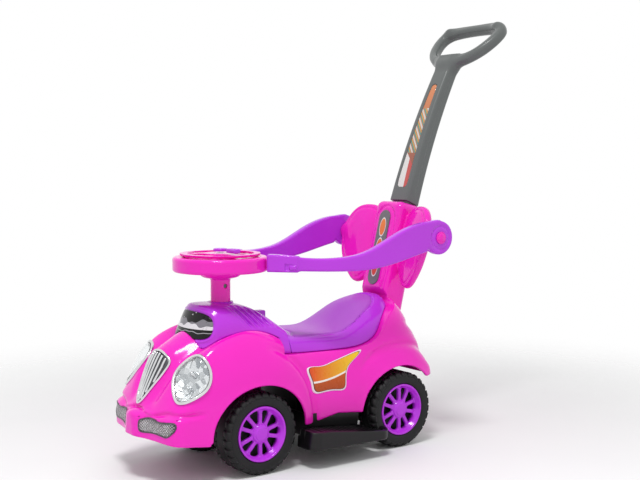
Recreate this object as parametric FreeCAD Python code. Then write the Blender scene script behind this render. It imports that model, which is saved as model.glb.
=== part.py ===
import FreeCAD, Part
import math
import os
from FreeCAD import Vector

# Push car for a toddler, in millimetres: +X forward, +Y to the car's left, +Z up, on the floor at Z = 0,
# with the origin under the middle of the whole car.

# Overall sizes
nose_overhang = 200.0  # front axle to the nose
wheelbase = 324.0
drawn_wheelbase = 324.0  # the one that the lines below were drawn for
stretch_front = -100.0  # from the front axle: behind this the lines stretch with the wheelbase
stretch_rear = -230.0  # and behind this they keep their place from the rear axle
wheel_span = 250.0  # over the outer faces of the tyres
body_wall = 3.0

# Fits
shaft_gap = 0.05  # radial, a shaft that turns in its bore
side_gap = 0.3  # between faces that slide or turn past each other
seat_gap = 0.15  # radial, a piece that sits still in its seat
lid_gap = 0.5  # seat lid to the body and the cowl

# Wheels
tyre_radius = 74.0
tyre_width = 56.0
tyre_shoulder = 6.0
lug_count = 28
lug_depth = 3.0
lug_slot = 5.0
lug_reach = 16.0
rim_radius = 50.0
rim_lip = 5.0
rim_window_out = 39.0
hub_radius = 14.0
hub_length = 46.0
hub_inset = 13.0  # tyre's outer face to the outer end of the hub
web_inset = 25.0  # tyre's outer face to the wheel's web
web_thickness = 12.0
spoke_pairs = 5
axle_radius = 5.0
nut_radius = 9.0
nut_thickness = 3.0

# Steering
steer_offset = 12.0  # column axis ahead of the front axle
kingpin_y = 48.0
kingpin_radius = 4.0
knuckle_radius = 11.0
steer_arm = 30.0
steer_pin_radius = 3.0
steer_limit = 20.0  # degrees each way
tie_bar_width = 30.0
tie_bar_thickness = 6.0
bridge_thickness = 6.0
column_radius = 16.5
column_wall = 3.5
column_bottom = 262.0
column_top = 344.5
flange_radius = 40.0
flange_height = 11.0
cross_screw_z = 330.0
cross_screw_radius = 2.0

# Chassis
pan_bottom = 58.0
pan_thickness = 4.0
pan_half_width = 36.0
pan_side_height = 34.0
screw_radius = 1.9
screw_head_radius = 3.6
screw_head_height = 2.4
screw_boss_radius = 6.0
screw_boss_y = 84.0

# Body openings
front_arch_reach = 100.0  # before and behind the axle, for the turned wheel
rear_arch_reach = 90.0
arch_height = 87.0  # above the axle
bin_half_width = 62.0
bin_length = 146.0
bin_front = -116.0  # from the front axle
bin_wall = 2.5
bin_lip = 5.0
bin_lip_front = 2.0  # less, to clear the seat lid's front wall

# Seat
seat_wall = 3.0
seat_pin_radius = 3.0
seat_pin_x = -340.0  # from the front axle
seat_pin_z = 280.0
lid_swing = 14.0  # room round the pin for the lid's rear end
seat_seam_radius = 175.0
seat_seam_x = -102.0  # from the front axle, at the middle of the car
seat_seam_draft = 9.0

# Backrest
backrest_lean = 14.0
backrest_x = -336.0  # front of its foot, from the front axle
backrest_foot_z = 262.0
backrest_width = 80.0
backrest_depth = 62.0
backrest_height = 224.0
wing_thickness = 15.0
wing_half_width = 58.0
wing_half_height = 84.0
wing_wrap = 9.0

# Guard
guard_half_width = 150.0  # car's middle to the middle of an arm
arm_thickness = 17.0
arm_pivot_x = -390.0  # from the front axle
arm_pivot_z = 410.0
arm_boss_radius = 33.0
pivot_pin_radius = 6.0
pivot_cap_radius = 12.0
tray_radius = 88.0
tray_height = 28.0
tray_wall = 3.0
tongue_thickness = 6.0
tongue_room = 2.2  # each side of a tongue, for the arm's swing
arm_end_gap = 3.2  # arm's end to the tray, for the same swing
tongue_height = 18.0
tongue_length = 22.0

# Steering wheel
wheel_ring_radius = 68.0
wheel_ring_tube = 7.0
wheel_hub_radius = 30.0
wheel_hub_height = 12.0
horn_radius = 13.0
horn_height = 6.0
horn_travel = 2.0

# Push handle
handle_lean = 23.0
handle_root_x = -432.0  # middle of the shaft at the backrest's top, from the front axle
handle_root_z = 472.0
handle_width = 56.0
handle_depth = 38.0
handle_neck_width = 44.0
handle_neck_depth = 30.0
handle_shaft = 325.0
handle_bow = 8.0  # the shaft bends forward this far at its middle
tongue_width = 46.0
tongue_depth = 24.0
tongue_insert = 72.0
grip_lean = 48.0
grip_length = 116.66
grip_half_width = 98.0
grip_bar = 21.0
grip_thickness = 24.0
grip_round = 9.0

# Trim
lens_bulge = 7.0
bezel_height = 4.0
grille_height = 4.0
mesh_height = 2.0
reflector_depth = 8.0
panel_thickness = 2.5

# Places worked out from the sizes above
lean = math.radians(handle_lean)
slope = math.radians(grip_lean)
half_grip = grip_thickness / 2
handle_run = handle_shaft * math.sin(lean)
grip_run = (grip_length - grip_round) * math.sin(slope)
grip_run += grip_round + (half_grip - grip_round) * math.cos(slope)
root_run = wheelbase - drawn_wheelbase - handle_root_x
overall_length = nose_overhang + root_run + handle_run + grip_run
front_x = overall_length / 2 - nose_overhang
rear_x = front_x - wheelbase
axle_z = tyre_radius
tyre_face = wheel_span / 2
steer_x = front_x + steer_offset
far = 1000.0


def along(dx):
    """X of a place drawn at dx from the front axle; the rear of the car keeps to the rear axle."""
    behind = min(max((dx - stretch_front) / (stretch_rear - stretch_front), 0), 1)
    return front_x + dx - behind * (wheelbase - drawn_wheelbase)


def box(x0, x1, y0, y1, z0, z1):
    return Part.makeBox(x1 - x0, y1 - y0, z1 - z0, Vector(x0, y0, z0))


def rod(start, end, radius):
    along = Vector(end) - Vector(start)
    return Part.makeCylinder(radius, along.Length, Vector(start), along)


def upright(x, y, z0, z1, radius):
    """Round bar along Z."""
    return rod((x, y, z0), (x, y, z1), radius)


def crossbar(x, z, y0, y1, radius):
    """Round bar along Y."""
    return rod((x, y0, z), (x, y1, z), radius)


def join(shapes):
    whole = shapes[0]
    for shape in shapes[1:]:
        whole = whole.fuse(shape)
    return whole.removeSplitter()


def mirrored(shape):
    return shape.mirror(Vector(0, 0, 0), Vector(0, 1, 0))


def spline_edge(points):
    curve = Part.BSplineCurve()
    curve.interpolate([Vector(p) for p in points])
    return curve.toShape()


def line_edges(points):
    ends = [Vector(p) for p in points]
    return [Part.makeLine(a, b) for a, b in zip(ends, ends[1:])]


def prism(edges, along):
    return Part.Face(Part.Wire(edges)).extrude(Vector(along))


def polygon_prism(points, along):
    return Part.Face(Part.makePolygon([Vector(p) for p in points + points[:1]])).extrude(Vector(along))


def turned(profile):
    """Solid turned about the Y axis from (radius, y) points."""
    face = Part.Face(Part.makePolygon([Vector(r, y, 0) for r, y in profile + profile[:1]]))
    return face.revolve(Vector(0, 0, 0), Vector(0, 1, 0), 360)


# Body lines: each row is a station, with its X from an axle, then the half width low down, then the
# half width and height above the axles of the side, shoulder, crown and valley, then the middle's height.
front_lines = (
    (200, 14, 17, 18, 14, 36, 10, 44, 5, 47, 48),
    (192, 27, 30, 18, 27, 40, 18, 48, 9, 51, 52),
    (182, 62, 70, 16, 64, 42, 45, 50, 22, 54, 57),
    (172, 104, 110, 16, 106, 42, 80, 54, 38, 66, 78),
    (160, 114, 119, 18, 115, 48, 88, 72, 44, 92, 106),
    (140, 117, 121, 22, 116, 64, 92, 102, 52, 124, 144),
    (114, 119, 122, 31, 118, 91, 97, 140, 60, 144, 164),
    (85, 119, 124, 41, 121, 106, 97, 162, 64, 158, 179),
    (45, 119, 125, 51, 122, 121, 95, 176, 66, 170, 182),
    (0, 119, 125, 56, 122, 126, 93, 180, 66, 176, 182),
    (-45, 117, 124, 56, 121, 118, 94, 166, 66, 169, 172),
    (-85, 112, 120, 51, 116, 101, 97, 143, 66, 156, 160),
    (-130, 107, 113, 46, 110, 91, 99, 134, 66, 154, 158),
)
rear_lines = (
    (134, 106, 112, 46, 110, 91, 100, 134, 66, 156, 160),
    (85, 109, 117, 51, 113, 98, 100, 141, 66, 171, 176),
    (40, 113, 123, 61, 117, 108, 99, 154, 66, 194, 200),
    (0, 115, 125, 66, 118, 114, 98, 162, 66, 208, 216),
    (-35, 114, 124, 68, 116, 111, 94, 154, 62, 198, 210),
    (-65, 110, 119, 64, 109, 98, 86, 131, 56, 161, 172),
    (-88, 100, 108, 58, 98, 78, 78, 98, 50, 116, 123),
    (-96, 92, 98, 56, 90, 70, 72, 86, 46, 98, 103),
)
keel = -40.0  # the lines run this far below the axles, and the bottom is then cut open
bilge = 12.0


def section_points(row):
    """Right half, bottom to top, then the left half down again, as (y, height) pairs."""
    low = row[1]
    half = [(low - bilge, keel), (low, keel + bilge)]
    half += [(row[i], row[i + 1]) for i in (2, 4, 6, 8)]
    return [(0, keel)] + half + [(0, row[10])] + [(-y, h) for y, h in reversed(half)]


def knots(points):
    """Spacing of a closed section's points, so that all the sections run alike."""
    steps = [0.0]
    for a, b in zip(points, points[1:] + points[:1]):
        steps.append(steps[-1] + math.sqrt(math.dist(a, b)))
    return steps


def grown(points, offset):
    """Each point moved outwards by the offset, square to its neighbours."""
    moved = []
    for i, (y, h) in enumerate(points):
        before = points[i - 1]
        after = points[(i + 1) % len(points)]
        dy = after[0] - before[0]
        dh = after[1] - before[1]
        length = math.hypot(dy, dh)
        moved.append((y + offset * dh / length, h - offset * dy / length))
    return moved


def closed_loft(stations):
    """Solid through closed sections: (x, [(y, z), ...]) with as many points in each."""
    spacing = knots(stations[len(stations) // 2][1])
    wires = []
    for x, points in stations:
        curve = Part.BSplineCurve()
        places = [Vector(x, y, z) for y, z in points]
        curve.interpolate(Points=places, PeriodicFlag=True, Parameters=spacing)
        wires.append(Part.Wire(curve.toShape()))
    return Part.makeLoft(wires, True, False)


nose_start = 85.0
nose_full = 160.0
tail_full = -65.0


def hull(offset=0.0):
    """The body's closed outer form, grown outwards or, with a negative offset, drawn inwards."""
    stations = []
    for row in front_lines:
        lead = min(max((row[0] - nose_start) / (nose_full - nose_start), 0), 1)
        points = grown(section_points(row), offset)
        stations.append((front_x + row[0] + offset * lead, [(y, axle_z + h) for y, h in points]))
    for row in rear_lines:
        trail = min(max(row[0] / tail_full, 0), 1)
        points = grown(section_points(row), offset)
        stations.append((rear_x + row[0] - offset * trail, [(y, axle_z + h) for y, h in points]))
    return closed_loft(stations)


# Seat deck: the line, seen from the side, where the seat lid rests on the body
deck_line = ((-60, 207), (-95, 205), (-175, 203), (-238, 205), (-280, 219), (-303, 241), (-328, 262),
             (-348, 272), (-356, 285), (-357, 310))
deck_top = 420.0


def above_deck(forward, up):
    """Everything above the seat deck's line, moved forward and up."""
    points = [Vector(along(dx) + forward, -far / 2, z + up) for dx, z in deck_line]
    curve = Part.BSplineCurve()
    curve.interpolate(points)
    rear_top = Vector(points[-1].x, -far / 2, deck_top)
    front_top = Vector(points[0].x, -far / 2, deck_top)
    edges = [curve.toShape()] + line_edges([points[-1], rear_top, front_top, points[0]])
    return prism(edges, (0, far, 0))


def seam(gap, bottom=190.0, top=330.0):
    """Upright cone that parts the seat lid from the cowl: wider below, so that the lid lifts clear."""
    radius = seat_seam_radius + gap
    slope = seat_seam_draft / 45.0
    height = top - bottom
    middle = front_x + seat_seam_x + seat_seam_radius
    foot = radius + slope * (239.0 - bottom)
    return Part.makeCone(foot, foot - slope * height, height, Vector(middle, 0, bottom))


def arch(x, reach):
    """Oval tunnel across the car, round an axle."""
    middle = Vector(x, -far / 2, axle_z)
    oval = Part.Ellipse(middle + Vector(reach, 0, 0), middle + Vector(0, 0, arch_height), middle)
    return prism([oval.toShape()], (0, far, 0))


bottom_line = (
    (nose_overhang + 20, 0), (nose_overhang + 20, 81), (104, 67), (104, 72), (-116, 74), (-178, 85),
    (-239, 79), (-324, 79), (-392, 131), (-444, 131), (-444, 0),
)
under = polygon_prism([(along(dx), -far / 2, z) for dx, z in bottom_line], (0, far, 0))

body_form = hull()
body_solid = body_form.cut(under).cut(above_deck(0, 0))
bin_x = (along(bin_front) - bin_length, along(bin_front))
bin_space = box(*bin_x, -bin_half_width, bin_half_width, pan_bottom + pan_thickness, deck_top)

# Headlight, grille and bumper mesh outlines, cut square to the faces that they sit on
lamp_middle = Vector(front_x + 137, 99, 188)
lamp_facing = Vector(0.80, 0.22, 0.56)
grille_middle = Vector(front_x + 161, 0, 176)
grille_facing = Vector(0.91, 0, 0.41)
mesh_middle = Vector(front_x + 181, 70, 101)
mesh_facing = Vector(0.96, 0.26, 0.08)
lamp_outline = ((0, -42), (17, -22), (24, 6), (18, 32), (0, 43), (-18, 34), (-25, 8), (-17, -20))
grille_half = ((9, -38), (22, -6), (31, 24), (29, 39), (16, 48))
grille_outline = ((0, -48),) + grille_half + ((0, 51),) + tuple((-u, v) for u, v in reversed(grille_half))
mesh_outline = ((-46, 5), (-22, 14), (8, 11), (44, 13), (43, 1), (26, -12), (-10, -10), (-45, -11))


def facing_prism(outline, middle, facing, grow=0.0, depth=45.0):
    """Smooth outline swept square to a face, reaching the depth before and behind it."""
    ahead = Vector(facing).normalize()
    across = Vector(0, 0, 1).cross(ahead).normalize()
    up = ahead.cross(across)
    points = [(u, v) for u, v in outline]
    turn = sum(a[0] * b[1] - b[0] * a[1] for a, b in zip(points, points[1:] + points[:1]))
    points = grown(points, grow if turn > 0 else -grow)
    places = [middle - ahead * depth + across * u + up * v for u, v in points]
    curve = Part.BSplineCurve()
    curve.interpolate(Points=places, PeriodicFlag=True)
    return prism([curve.toShape()], ahead * (2 * depth))


def skin(low, high, cutter):
    """The layer between two offsets of the body's form, inside a cutter."""
    outer = hull_at(high).common(cutter)
    return outer.cut(hull_at(low))


hulls = {0.0: body_form}


def hull_at(offset):
    if offset not in hulls:
        hulls[offset] = hull(offset)
    return hulls[offset]


lamp_hole = facing_prism(lamp_outline, lamp_middle, lamp_facing)
lamp_plug = facing_prism(lamp_outline, lamp_middle, lamp_facing, -seat_gap)
bezel_edge = facing_prism(lamp_outline, lamp_middle, lamp_facing, 3.5)
mesh_edge = facing_prism(mesh_outline, mesh_middle, mesh_facing, 0, 25)
grille_edge = facing_prism(grille_outline, grille_middle, grille_facing)

nodes = {}

# Body shell: hollow, open below, with the wheel arches, the deck under the seat and its openings
cavity = hull_at(-body_wall).cut(above_deck(-body_wall, -body_wall))
shell = body_solid.cut(cavity).cut(arch(front_x, front_arch_reach)).cut(arch(rear_x, rear_arch_reach))
boss_rows = (front_x - 120, rear_x + 114)
boss_places = [(x, side * screw_boss_y) for x in boss_rows for side in (1, -1)]
pan_top = pan_bottom + pan_thickness
bosses = []
for x, y in boss_places:
    boss = upright(x, y, pan_top, deck_top, screw_boss_radius).common(body_solid)
    bosses.append(boss.fuse(upright(x, y, pan_top, axle_z + 30, screw_boss_radius)))
lug_half = 4.0
lug_y = 23.0
lug_radius = 5.5
pin_x = along(seat_pin_x)
lugs = []
for side in (1, -1):
    y0 = side * lug_y - lug_half
    y1 = side * lug_y + lug_half
    lug = crossbar(pin_x, seat_pin_z, y0, y1, lug_radius)
    lugs.append(lug.fuse(box(pin_x - lug_radius, pin_x + lug_radius, y0, y1, 262, seat_pin_z)))
shell = join([shell] + bosses + lugs)
shell = shell.cut(bin_space)
shell = shell.cut(box(steer_x - 34, steer_x + 34, -34, 34, 200, 320))
shell = shell.cut(crossbar(pin_x, seat_pin_z, -60, 60, seat_pin_radius + seat_gap / 3))
for x, y in boss_places:
    shell = shell.cut(upright(x, y, pan_top - 1, pan_top + 20, screw_radius + shaft_gap))
shell = shell.cut(lamp_hole).cut(mirrored(lamp_hole))
nodes["body_shell"] = shell

# Headlights: a reflector set in the wall, a chrome bezel round it and a clear lens over it
for side, name in ((1, "left"), (-1, "right")):
    sunk = body_form.copy()
    sunk.translate(lamp_facing.normalize() * -reflector_depth)
    reflector = body_form.common(lamp_plug).cut(sunk)
    lens = skin(0.0, lens_bulge, lamp_plug)
    bezel = skin(0.0, bezel_height, bezel_edge).cut(lamp_hole)
    mesh = skin(0.0, mesh_height, mesh_edge)
    lamp = {"headlight_reflector": reflector, "headlight_lens": lens, "headlight_bezel": bezel}
    for label, shape in {**lamp, "bumper_mesh": mesh}.items():
        nodes[f"{label}_{name}"] = shape if side > 0 else mirrored(shape)

# Nose grille: a chrome drop with upright slats
grille = skin(0.0, grille_height, grille_edge)
slat_pitch = 8.0
slat_slot = 3.0
for i in range(-3, 4):
    y = i * slat_pitch
    reach = 44 - 5 * abs(i)
    low = grille_middle.z - reach * 0.8
    slot = box(front_x, far, y - slat_slot / 2, y + slat_slot / 2, low, grille_middle.z + reach)
    grille = grille.cut(slot.common(hull_at(grille_height)).cut(hull_at(grille_height / 2)))
nodes["nose_grille"] = grille

# Chassis pan: the black floor, a tray between the wheels and narrow spines past them
mid_x = (rear_x + 98, front_x - 108)
tray_floor = box(*mid_x, -far / 2, far / 2, pan_bottom, pan_bottom + pan_side_height)
tray_floor = tray_floor.common(hull_at(-body_wall - seat_gap))
tray_room = box(mid_x[0] + 3, mid_x[1] - 3, -far / 2, far / 2, pan_top, far)
tray_floor = tray_floor.cut(tray_room.common(hull_at(-2 * body_wall)))
boss_y = tyre_face - hub_inset - hub_length - side_gap
rear_block_in = 40.0
block_half = 14.0
pan_parts = [tray_floor]
pan_parts.append(box(mid_x[1] - 4, front_x + 96, -pan_half_width, pan_half_width, pan_bottom, pan_top))
arm_end = kingpin_y + block_half
pan_parts.append(box(front_x - block_half, front_x + block_half, -arm_end, arm_end, pan_bottom, pan_top))
pan_parts.append(box(rear_x - 20, mid_x[0] + 4, -boss_y, boss_y, pan_bottom, pan_top))
for side in (1, -1):
    y0, y1 = sorted((side * rear_block_in, side * boss_y))
    pan_parts.append(box(rear_x - block_half, rear_x + block_half, y0, y1, pan_bottom, axle_z + block_half))
pan = join(pan_parts)
bin_room = bin_half_width + side_gap
pan = pan.cut(box(bin_x[0] - 1, bin_x[1] + 1, -bin_room, bin_room, pan_top, far))
pan = pan.cut(crossbar(rear_x, axle_z, -far / 2, far / 2, axle_radius + shaft_gap))
pan = pan.cut(upright(steer_x, 0, 0, far, axle_radius + shaft_gap))
for side in (1, -1):
    pan = pan.cut(upright(front_x, side * kingpin_y, 0, far, kingpin_radius + shaft_gap))
for x, y in boss_places:
    pan = pan.cut(upright(x, y, 0, pan_top + 1, screw_radius + seat_gap))
    head_top = pan_bottom + screw_head_height
    pan = pan.cut(upright(x, y, pan_bottom, head_top, screw_head_radius + seat_gap))
nodes["chassis_pan"] = pan

# Screws that hold the pan to the body's bosses
screw_length = 18.0
screws = []
for x, y in boss_places:
    head = upright(x, y, pan_bottom, pan_bottom + screw_head_height, screw_head_radius)
    shank = upright(x, y, pan_bottom, pan_bottom + screw_length, screw_radius)
    slot = box(x - far, x + far, y - 0.5, y + 0.5, pan_bottom, pan_bottom + 1)
    screws.append(head.fuse(shank).removeSplitter().cut(slot))
nodes["body_screws"] = Part.makeCompound(screws)

# Storage bin: an open box that stands on the pan under the seat, with a lip on the deck
bin_out = bin_half_width - side_gap
bin_in = bin_half_width - bin_wall
bin_outer = box(bin_x[0] + side_gap, bin_x[1] - side_gap, -bin_out, bin_out, pan_top, deck_top - 1)
lip_half = bin_half_width + bin_lip
lip = box(bin_x[0] - bin_lip, bin_x[1] + bin_lip_front, -lip_half, lip_half, 150, deck_top - 1)
lip = lip.common(above_deck(0, 0)).cut(above_deck(0, 2))
bin_body = bin_outer.cut(above_deck(0, 2)).fuse(lip).removeSplitter()
hollow = box(bin_x[0] + bin_wall, bin_x[1] - bin_wall, -bin_in, bin_in, pan_top + bin_wall, far)
nodes["storage_bin"] = bin_body.cut(hollow)

# Cowl: the purple hood behind the windscreen, from arched sections, standing on the body
cowl_lines = (
    (90, 60, 56, 262, 40, 287, 293),
    (60, 70, 64, 262, 46, 292, 299),
    (20, 77, 70, 260, 50, 291, 299),
    (-20, 84, 76, 255, 55, 284, 294),
    (-60, 89, 82, 246, 60, 265, 273),
    (-100, 91, 86, 230, 66, 238, 242),
    (-130, 91, 87, 222, 66, 226, 228),
)
cowl_foot = 205.0


def cowl_form(inset):
    stations = []
    for dx, foot, mid_y, mid_z, top_y, top_z, middle in cowl_lines:
        half = [(foot, cowl_foot), (foot, cowl_foot + 20), (mid_y, mid_z), (top_y, top_z)]
        points = [(0, cowl_foot - 4)] + half + [(0, middle)] + [(-y, z) for y, z in reversed(half)]
        stations.append((along(dx), grown(points, -inset)))
    return closed_loft(stations)


screen_radius = 92.0
screen_slope = 0.42
screen_foot = 240.0
screen_front = front_x + 89


def screen_cone(grow):
    """Upright cone whose front is the cowl's round face, leaning back."""
    height = 80.0
    base = screen_radius + grow + screen_slope * 10
    middle = Vector(screen_front - screen_radius, 0, screen_foot)
    return Part.makeCone(base, base - screen_slope * height, height, middle)


before_column = box(front_x - 4, far, -far / 2, far / 2, 0, far)
cowl = cowl_form(0).cut(before_column.cut(screen_cone(0))).common(seam(0)).cut(body_solid)
cowl_hollow = cowl_form(body_wall).common(seam(-body_wall)).cut(before_column.cut(screen_cone(-body_wall)))
cowl = cowl.cut(cowl_hollow)
bush_radius = column_radius + 3.0
cowl = cowl.cut(upright(steer_x, 0, 200, far, bush_radius + seat_gap))
nodes["dash_cowl"] = cowl

# Windscreen panel: a black arch bent round the cowl's front
screen_half = ((63, 246), (62, 268), (50, 283), (26, 289))
screen_points = [(0, 243)] + list(screen_half) + [(0, 290)] + [(-y, z) for y, z in reversed(screen_half)]
screen_curve = Part.BSplineCurve()
screen_curve.interpolate(Points=[Vector(front_x + 20, y, z) for y, z in screen_points], PeriodicFlag=True)
panel = prism([screen_curve.toShape()], (120, 0, 0))
panel = panel.common(screen_cone(panel_thickness)).cut(screen_cone(0))
nodes["windscreen_panel"] = panel.cut(hull_at(side_gap))

# Column bush: a plain ring in the cowl for the steering column
bush_bottom = 288.0
bush_top = 301.0
ring = upright(steer_x, 0, bush_bottom, bush_top, bush_radius)
nodes["column_bush"] = ring.cut(upright(steer_x, 0, 0, far, column_radius + shaft_gap))

# Seat lid: a hollow saddle that rests on the deck and turns up about a pin at its back
seat_lines = (
    (-60, 89, 238, 14), (-110, 90, 238, 15), (-160, 93, 236, 16), (-215, 94, 239, 20), (-248, 93, 257, 32),
    (-282, 89, 278, 42), (-312, 80, 287, 44), (-335, 68, 291, 42), (-356, 50, 290, 40),
)
seat_foot = 190.0


def seat_form(inset):
    """Saddle through (x, half width, height of the middle, fall to the edges) rows."""
    stations = []
    for dx, half_width, top, fall in seat_lines:
        half = [(half_width - 2, seat_foot), (half_width + 1, top - fall - 14)]
        half += [(half_width * 0.86, top - fall * 0.62), (half_width * 0.5, top - fall * 0.12)]
        points = [(0, seat_foot - 4)] + half + [(0, top)] + [(-y, z) for y, z in reversed(half)]
        stations.append((along(dx), grown(points, -inset)))
    return closed_loft(stations)


lid_space = above_deck(lid_gap, lid_gap).cut(seam(lid_gap))
lid_form = seat_form(0).common(lid_space)
lid_hollow = seat_form(seat_wall).cut(seam(lid_gap + seat_wall))
lid_end = pin_x - lug_radius
behind_pin = box(-far, lid_end, -far / 2, far / 2, 0, far)
behind_wall = box(-far, lid_end + seat_wall, -far / 2, far / 2, 0, far)
lid = lid_form.cut(lid_hollow.cut(behind_wall)).cut(behind_pin)
lid_boss_y = 33.0
boss_shapes = []
for side in (1, -1):
    y0 = side * lid_boss_y - lug_half
    y1 = side * lid_boss_y + lug_half
    boss = crossbar(pin_x, seat_pin_z, y0, y1, lug_radius)
    web = box(lid_end, pin_x + lug_radius, y0, y1, seat_pin_z, far).common(lid_form)
    boss_shapes.append(boss.fuse(web))
lid = join([lid] + boss_shapes)
for side in (1, -1):
    y = side * lug_y
    room = lug_half + lid_gap
    front = pin_x + lug_radius + lid_gap
    lid = lid.cut(box(-far, front, y - room, y + room, 0, seat_pin_z + lug_radius + lid_gap))
lid = lid.cut(crossbar(pin_x, seat_pin_z, -60, 60, seat_pin_radius + shaft_gap))
nodes["seat_lid"] = lid
pin_half = lid_boss_y + lug_half
nodes["seat_hinge_pin"] = crossbar(pin_x, seat_pin_z, -pin_half, pin_half, seat_pin_radius)

# Backrest: a leaning post with two wings, the guard's pivots at its sides and a socket for the handle


def leaned(shape):
    """From the backrest's own frame, with the front of its foot at the origin, to the car's."""
    shape = shape.copy()
    shape.rotate(Vector(0, 0, 0), Vector(0, 1, 0), -backrest_lean)
    shape.translate(Vector(along(backrest_x), 0, backrest_foot_z))
    return shape


half_post = backrest_width / 2
post = box(-backrest_depth, 0, -half_post, half_post, -30, backrest_height)
uprights = [e for e in post.Edges if abs(e.tangentAt(e.FirstParameter).z) > 0.5]
post = post.makeFillet(14, uprights)
top_edges = [e for e in post.Edges if e.BoundBox.ZMin > backrest_height - 0.01]
post = post.makeFillet(9, top_edges)
wing_y = half_post - 18 + wing_half_width
wing_z = 134.0


def wing():
    points = [Vector(0, wing_half_width * math.cos(a), wing_half_height * math.sin(a)) for a in wing_angles]
    curve = Part.BSplineCurve()
    curve.interpolate(Points=points, PeriodicFlag=True)
    plate = prism([curve.toShape()], (wing_thickness, 0, 0))
    plate.translate(Vector(-backrest_depth / 2 - wing_thickness / 2, wing_y, wing_z))
    plate.rotate(Vector(-backrest_depth / 2, half_post, 0), Vector(0, 0, 1), -wing_wrap)
    return leaned(plate)


wing_angles = [math.radians(a) for a in range(0, 360, 30)]
pivot = Vector(along(arm_pivot_x), 0, arm_pivot_z)
arm_inner = guard_half_width - arm_thickness / 2
pivot_in = half_post + 50
pivot_boss = crossbar(pivot.x, pivot.z, pivot_in, arm_inner - side_gap, 20)
post_shape = leaned(post).cut(body_solid)
left_wing = wing().fuse(pivot_boss).removeSplitter()
backrest = join([post_shape, left_wing, mirrored(left_wing)])


def along_handle(shape):
    """From the handle's own frame, with Z up its shaft from the backrest's top, to the car's."""
    shape = shape.copy()
    shape.rotate(Vector(0, 0, 0), Vector(0, 1, 0), -handle_lean)
    shape.translate(Vector(along(handle_root_x), 0, handle_root_z))
    return shape


half_tongue = tongue_width / 2
socket_x = tongue_depth / 2 + side_gap
socket_y = half_tongue + side_gap
socket = box(-socket_x, socket_x, -socket_y, socket_y, -tongue_insert - side_gap, 60)
shoulder = box(-handle_depth, handle_depth, -handle_width, handle_width, 0, 80)
backrest = backrest.cut(along_handle(socket)).cut(along_handle(shoulder))
pivot_hole = crossbar(pivot.x, pivot.z, -far, far, pivot_pin_radius + shaft_gap)
pin_depth = 30.0
pin_room = box(-far, far, arm_inner - side_gap - pin_depth, far, -far, far)
backrest = backrest.cut(pivot_hole.common(pin_room)).cut(pivot_hole.common(mirrored(pin_room)))
hinge_room = box(pin_x - lid_swing, far, -far / 2, far / 2, 0, seat_pin_z + lid_swing + 10)
backrest = backrest.cut(hinge_room)
nodes["backrest"] = backrest

# Grey oval panel on the front of the backrest
oval_half_width = 17.0
oval_half_height = 78.0
oval_z = 125.0
oval_thickness = 2.0
straight = oval_half_height - oval_half_width
oval = join([rod((0, 0, oval_z - straight), (oval_thickness, 0, oval_z - straight), oval_half_width),
             rod((0, 0, oval_z + straight), (oval_thickness, 0, oval_z + straight), oval_half_width),
             box(0, oval_thickness, -oval_half_width, oval_half_width, oval_z - straight, oval_z + straight)])
nodes["backrest_panel"] = leaned(oval)

# Screws through the back of the post into the body's tail
tail_screws = []
head_face = -backrest_depth - screw_head_height
shank_end = -backrest_depth + screw_length
for y in (22, -22):
    for z in (40, 62):
        head = rod((head_face, y, z), (-backrest_depth, y, z), screw_head_radius)
        shank = rod((head_face, y, z), (shank_end, y, z), screw_radius)
        slot = box(head_face, head_face + 1, -far, far, z - 0.5, z + 0.5)
        tail_screws.append(leaned(head.fuse(shank).removeSplitter().cut(slot)))
        hole = rod((-backrest_depth - 1, y, z), (shank_end, y, z), screw_radius + shaft_gap)
        nodes["backrest"] = nodes["backrest"].cut(leaned(hole))
nodes["backrest_screws"] = Part.makeCompound(tail_screws)

# Guard tray: a shallow drum round the steering column, with a tongue at each side for an arm
tray_bottom = column_top + flange_height + side_gap
tray_top = tray_bottom + tray_height
tray_hole = wheel_hub_radius * 0.5
drum = upright(steer_x, 0, tray_bottom, tray_top, tray_radius)
drum = drum.makeFillet(6, [e for e in drum.Edges if e.BoundBox.ZMin > tray_top - 0.01])
drum = drum.makeFillet(2, [e for e in drum.Edges if e.BoundBox.ZMax < tray_bottom + 0.01])
tray_room = upright(steer_x, 0, tray_bottom - 1, tray_top - tray_wall, tray_radius - tray_wall)
drum = drum.cut(tray_room.cut(upright(steer_x, 0, 0, far, flange_radius - 6)))
drum = drum.cut(upright(steer_x, 0, 0, far, tray_hole))

# Guard arms: from above each follows a bow from its pivot to the tray, and from the side a sagging line
arm_path = ((arm_pivot_x - 40, 0), (arm_pivot_x, 0), (-300, 0), (-240, -3), (-190, -9),
            (-140, -21.5), (-100, -40), (-70, -61.5), (-52, -78.5))
arm_top = ((arm_pivot_x + 20, 446), (-330, 439), (-293, 426), (-247, 404), (-205, 388), (-165, 382),
           (-130, 381), (-98, 383), (-70, 386), (-42, 387))
arm_low = ((-358, 384), (-331, 378), (-294, 369), (-248, 360), (-205, 356), (-165, 356),
           (-130, 357), (-98, 358), (-42, 359))


def band(points, half):
    """Closed edges round a path, half the thickness to each side."""
    left = []
    right = []
    for i, (x, y) in enumerate(points):
        x0, y0 = points[max(i - 1, 0)]
        x1, y1 = points[min(i + 1, len(points) - 1)]
        length = math.hypot(x1 - x0, y1 - y0)
        nx = -(y1 - y0) / length * half
        ny = (x1 - x0) / length * half
        left.append((x + nx, y + ny, 0))
        right.append((x - nx, y - ny, 0))
    ends = line_edges([left[-1], right[-1]]) + line_edges([right[0], left[0]])
    return [spline_edge(left), ends[0], spline_edge(right), ends[1]]


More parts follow.
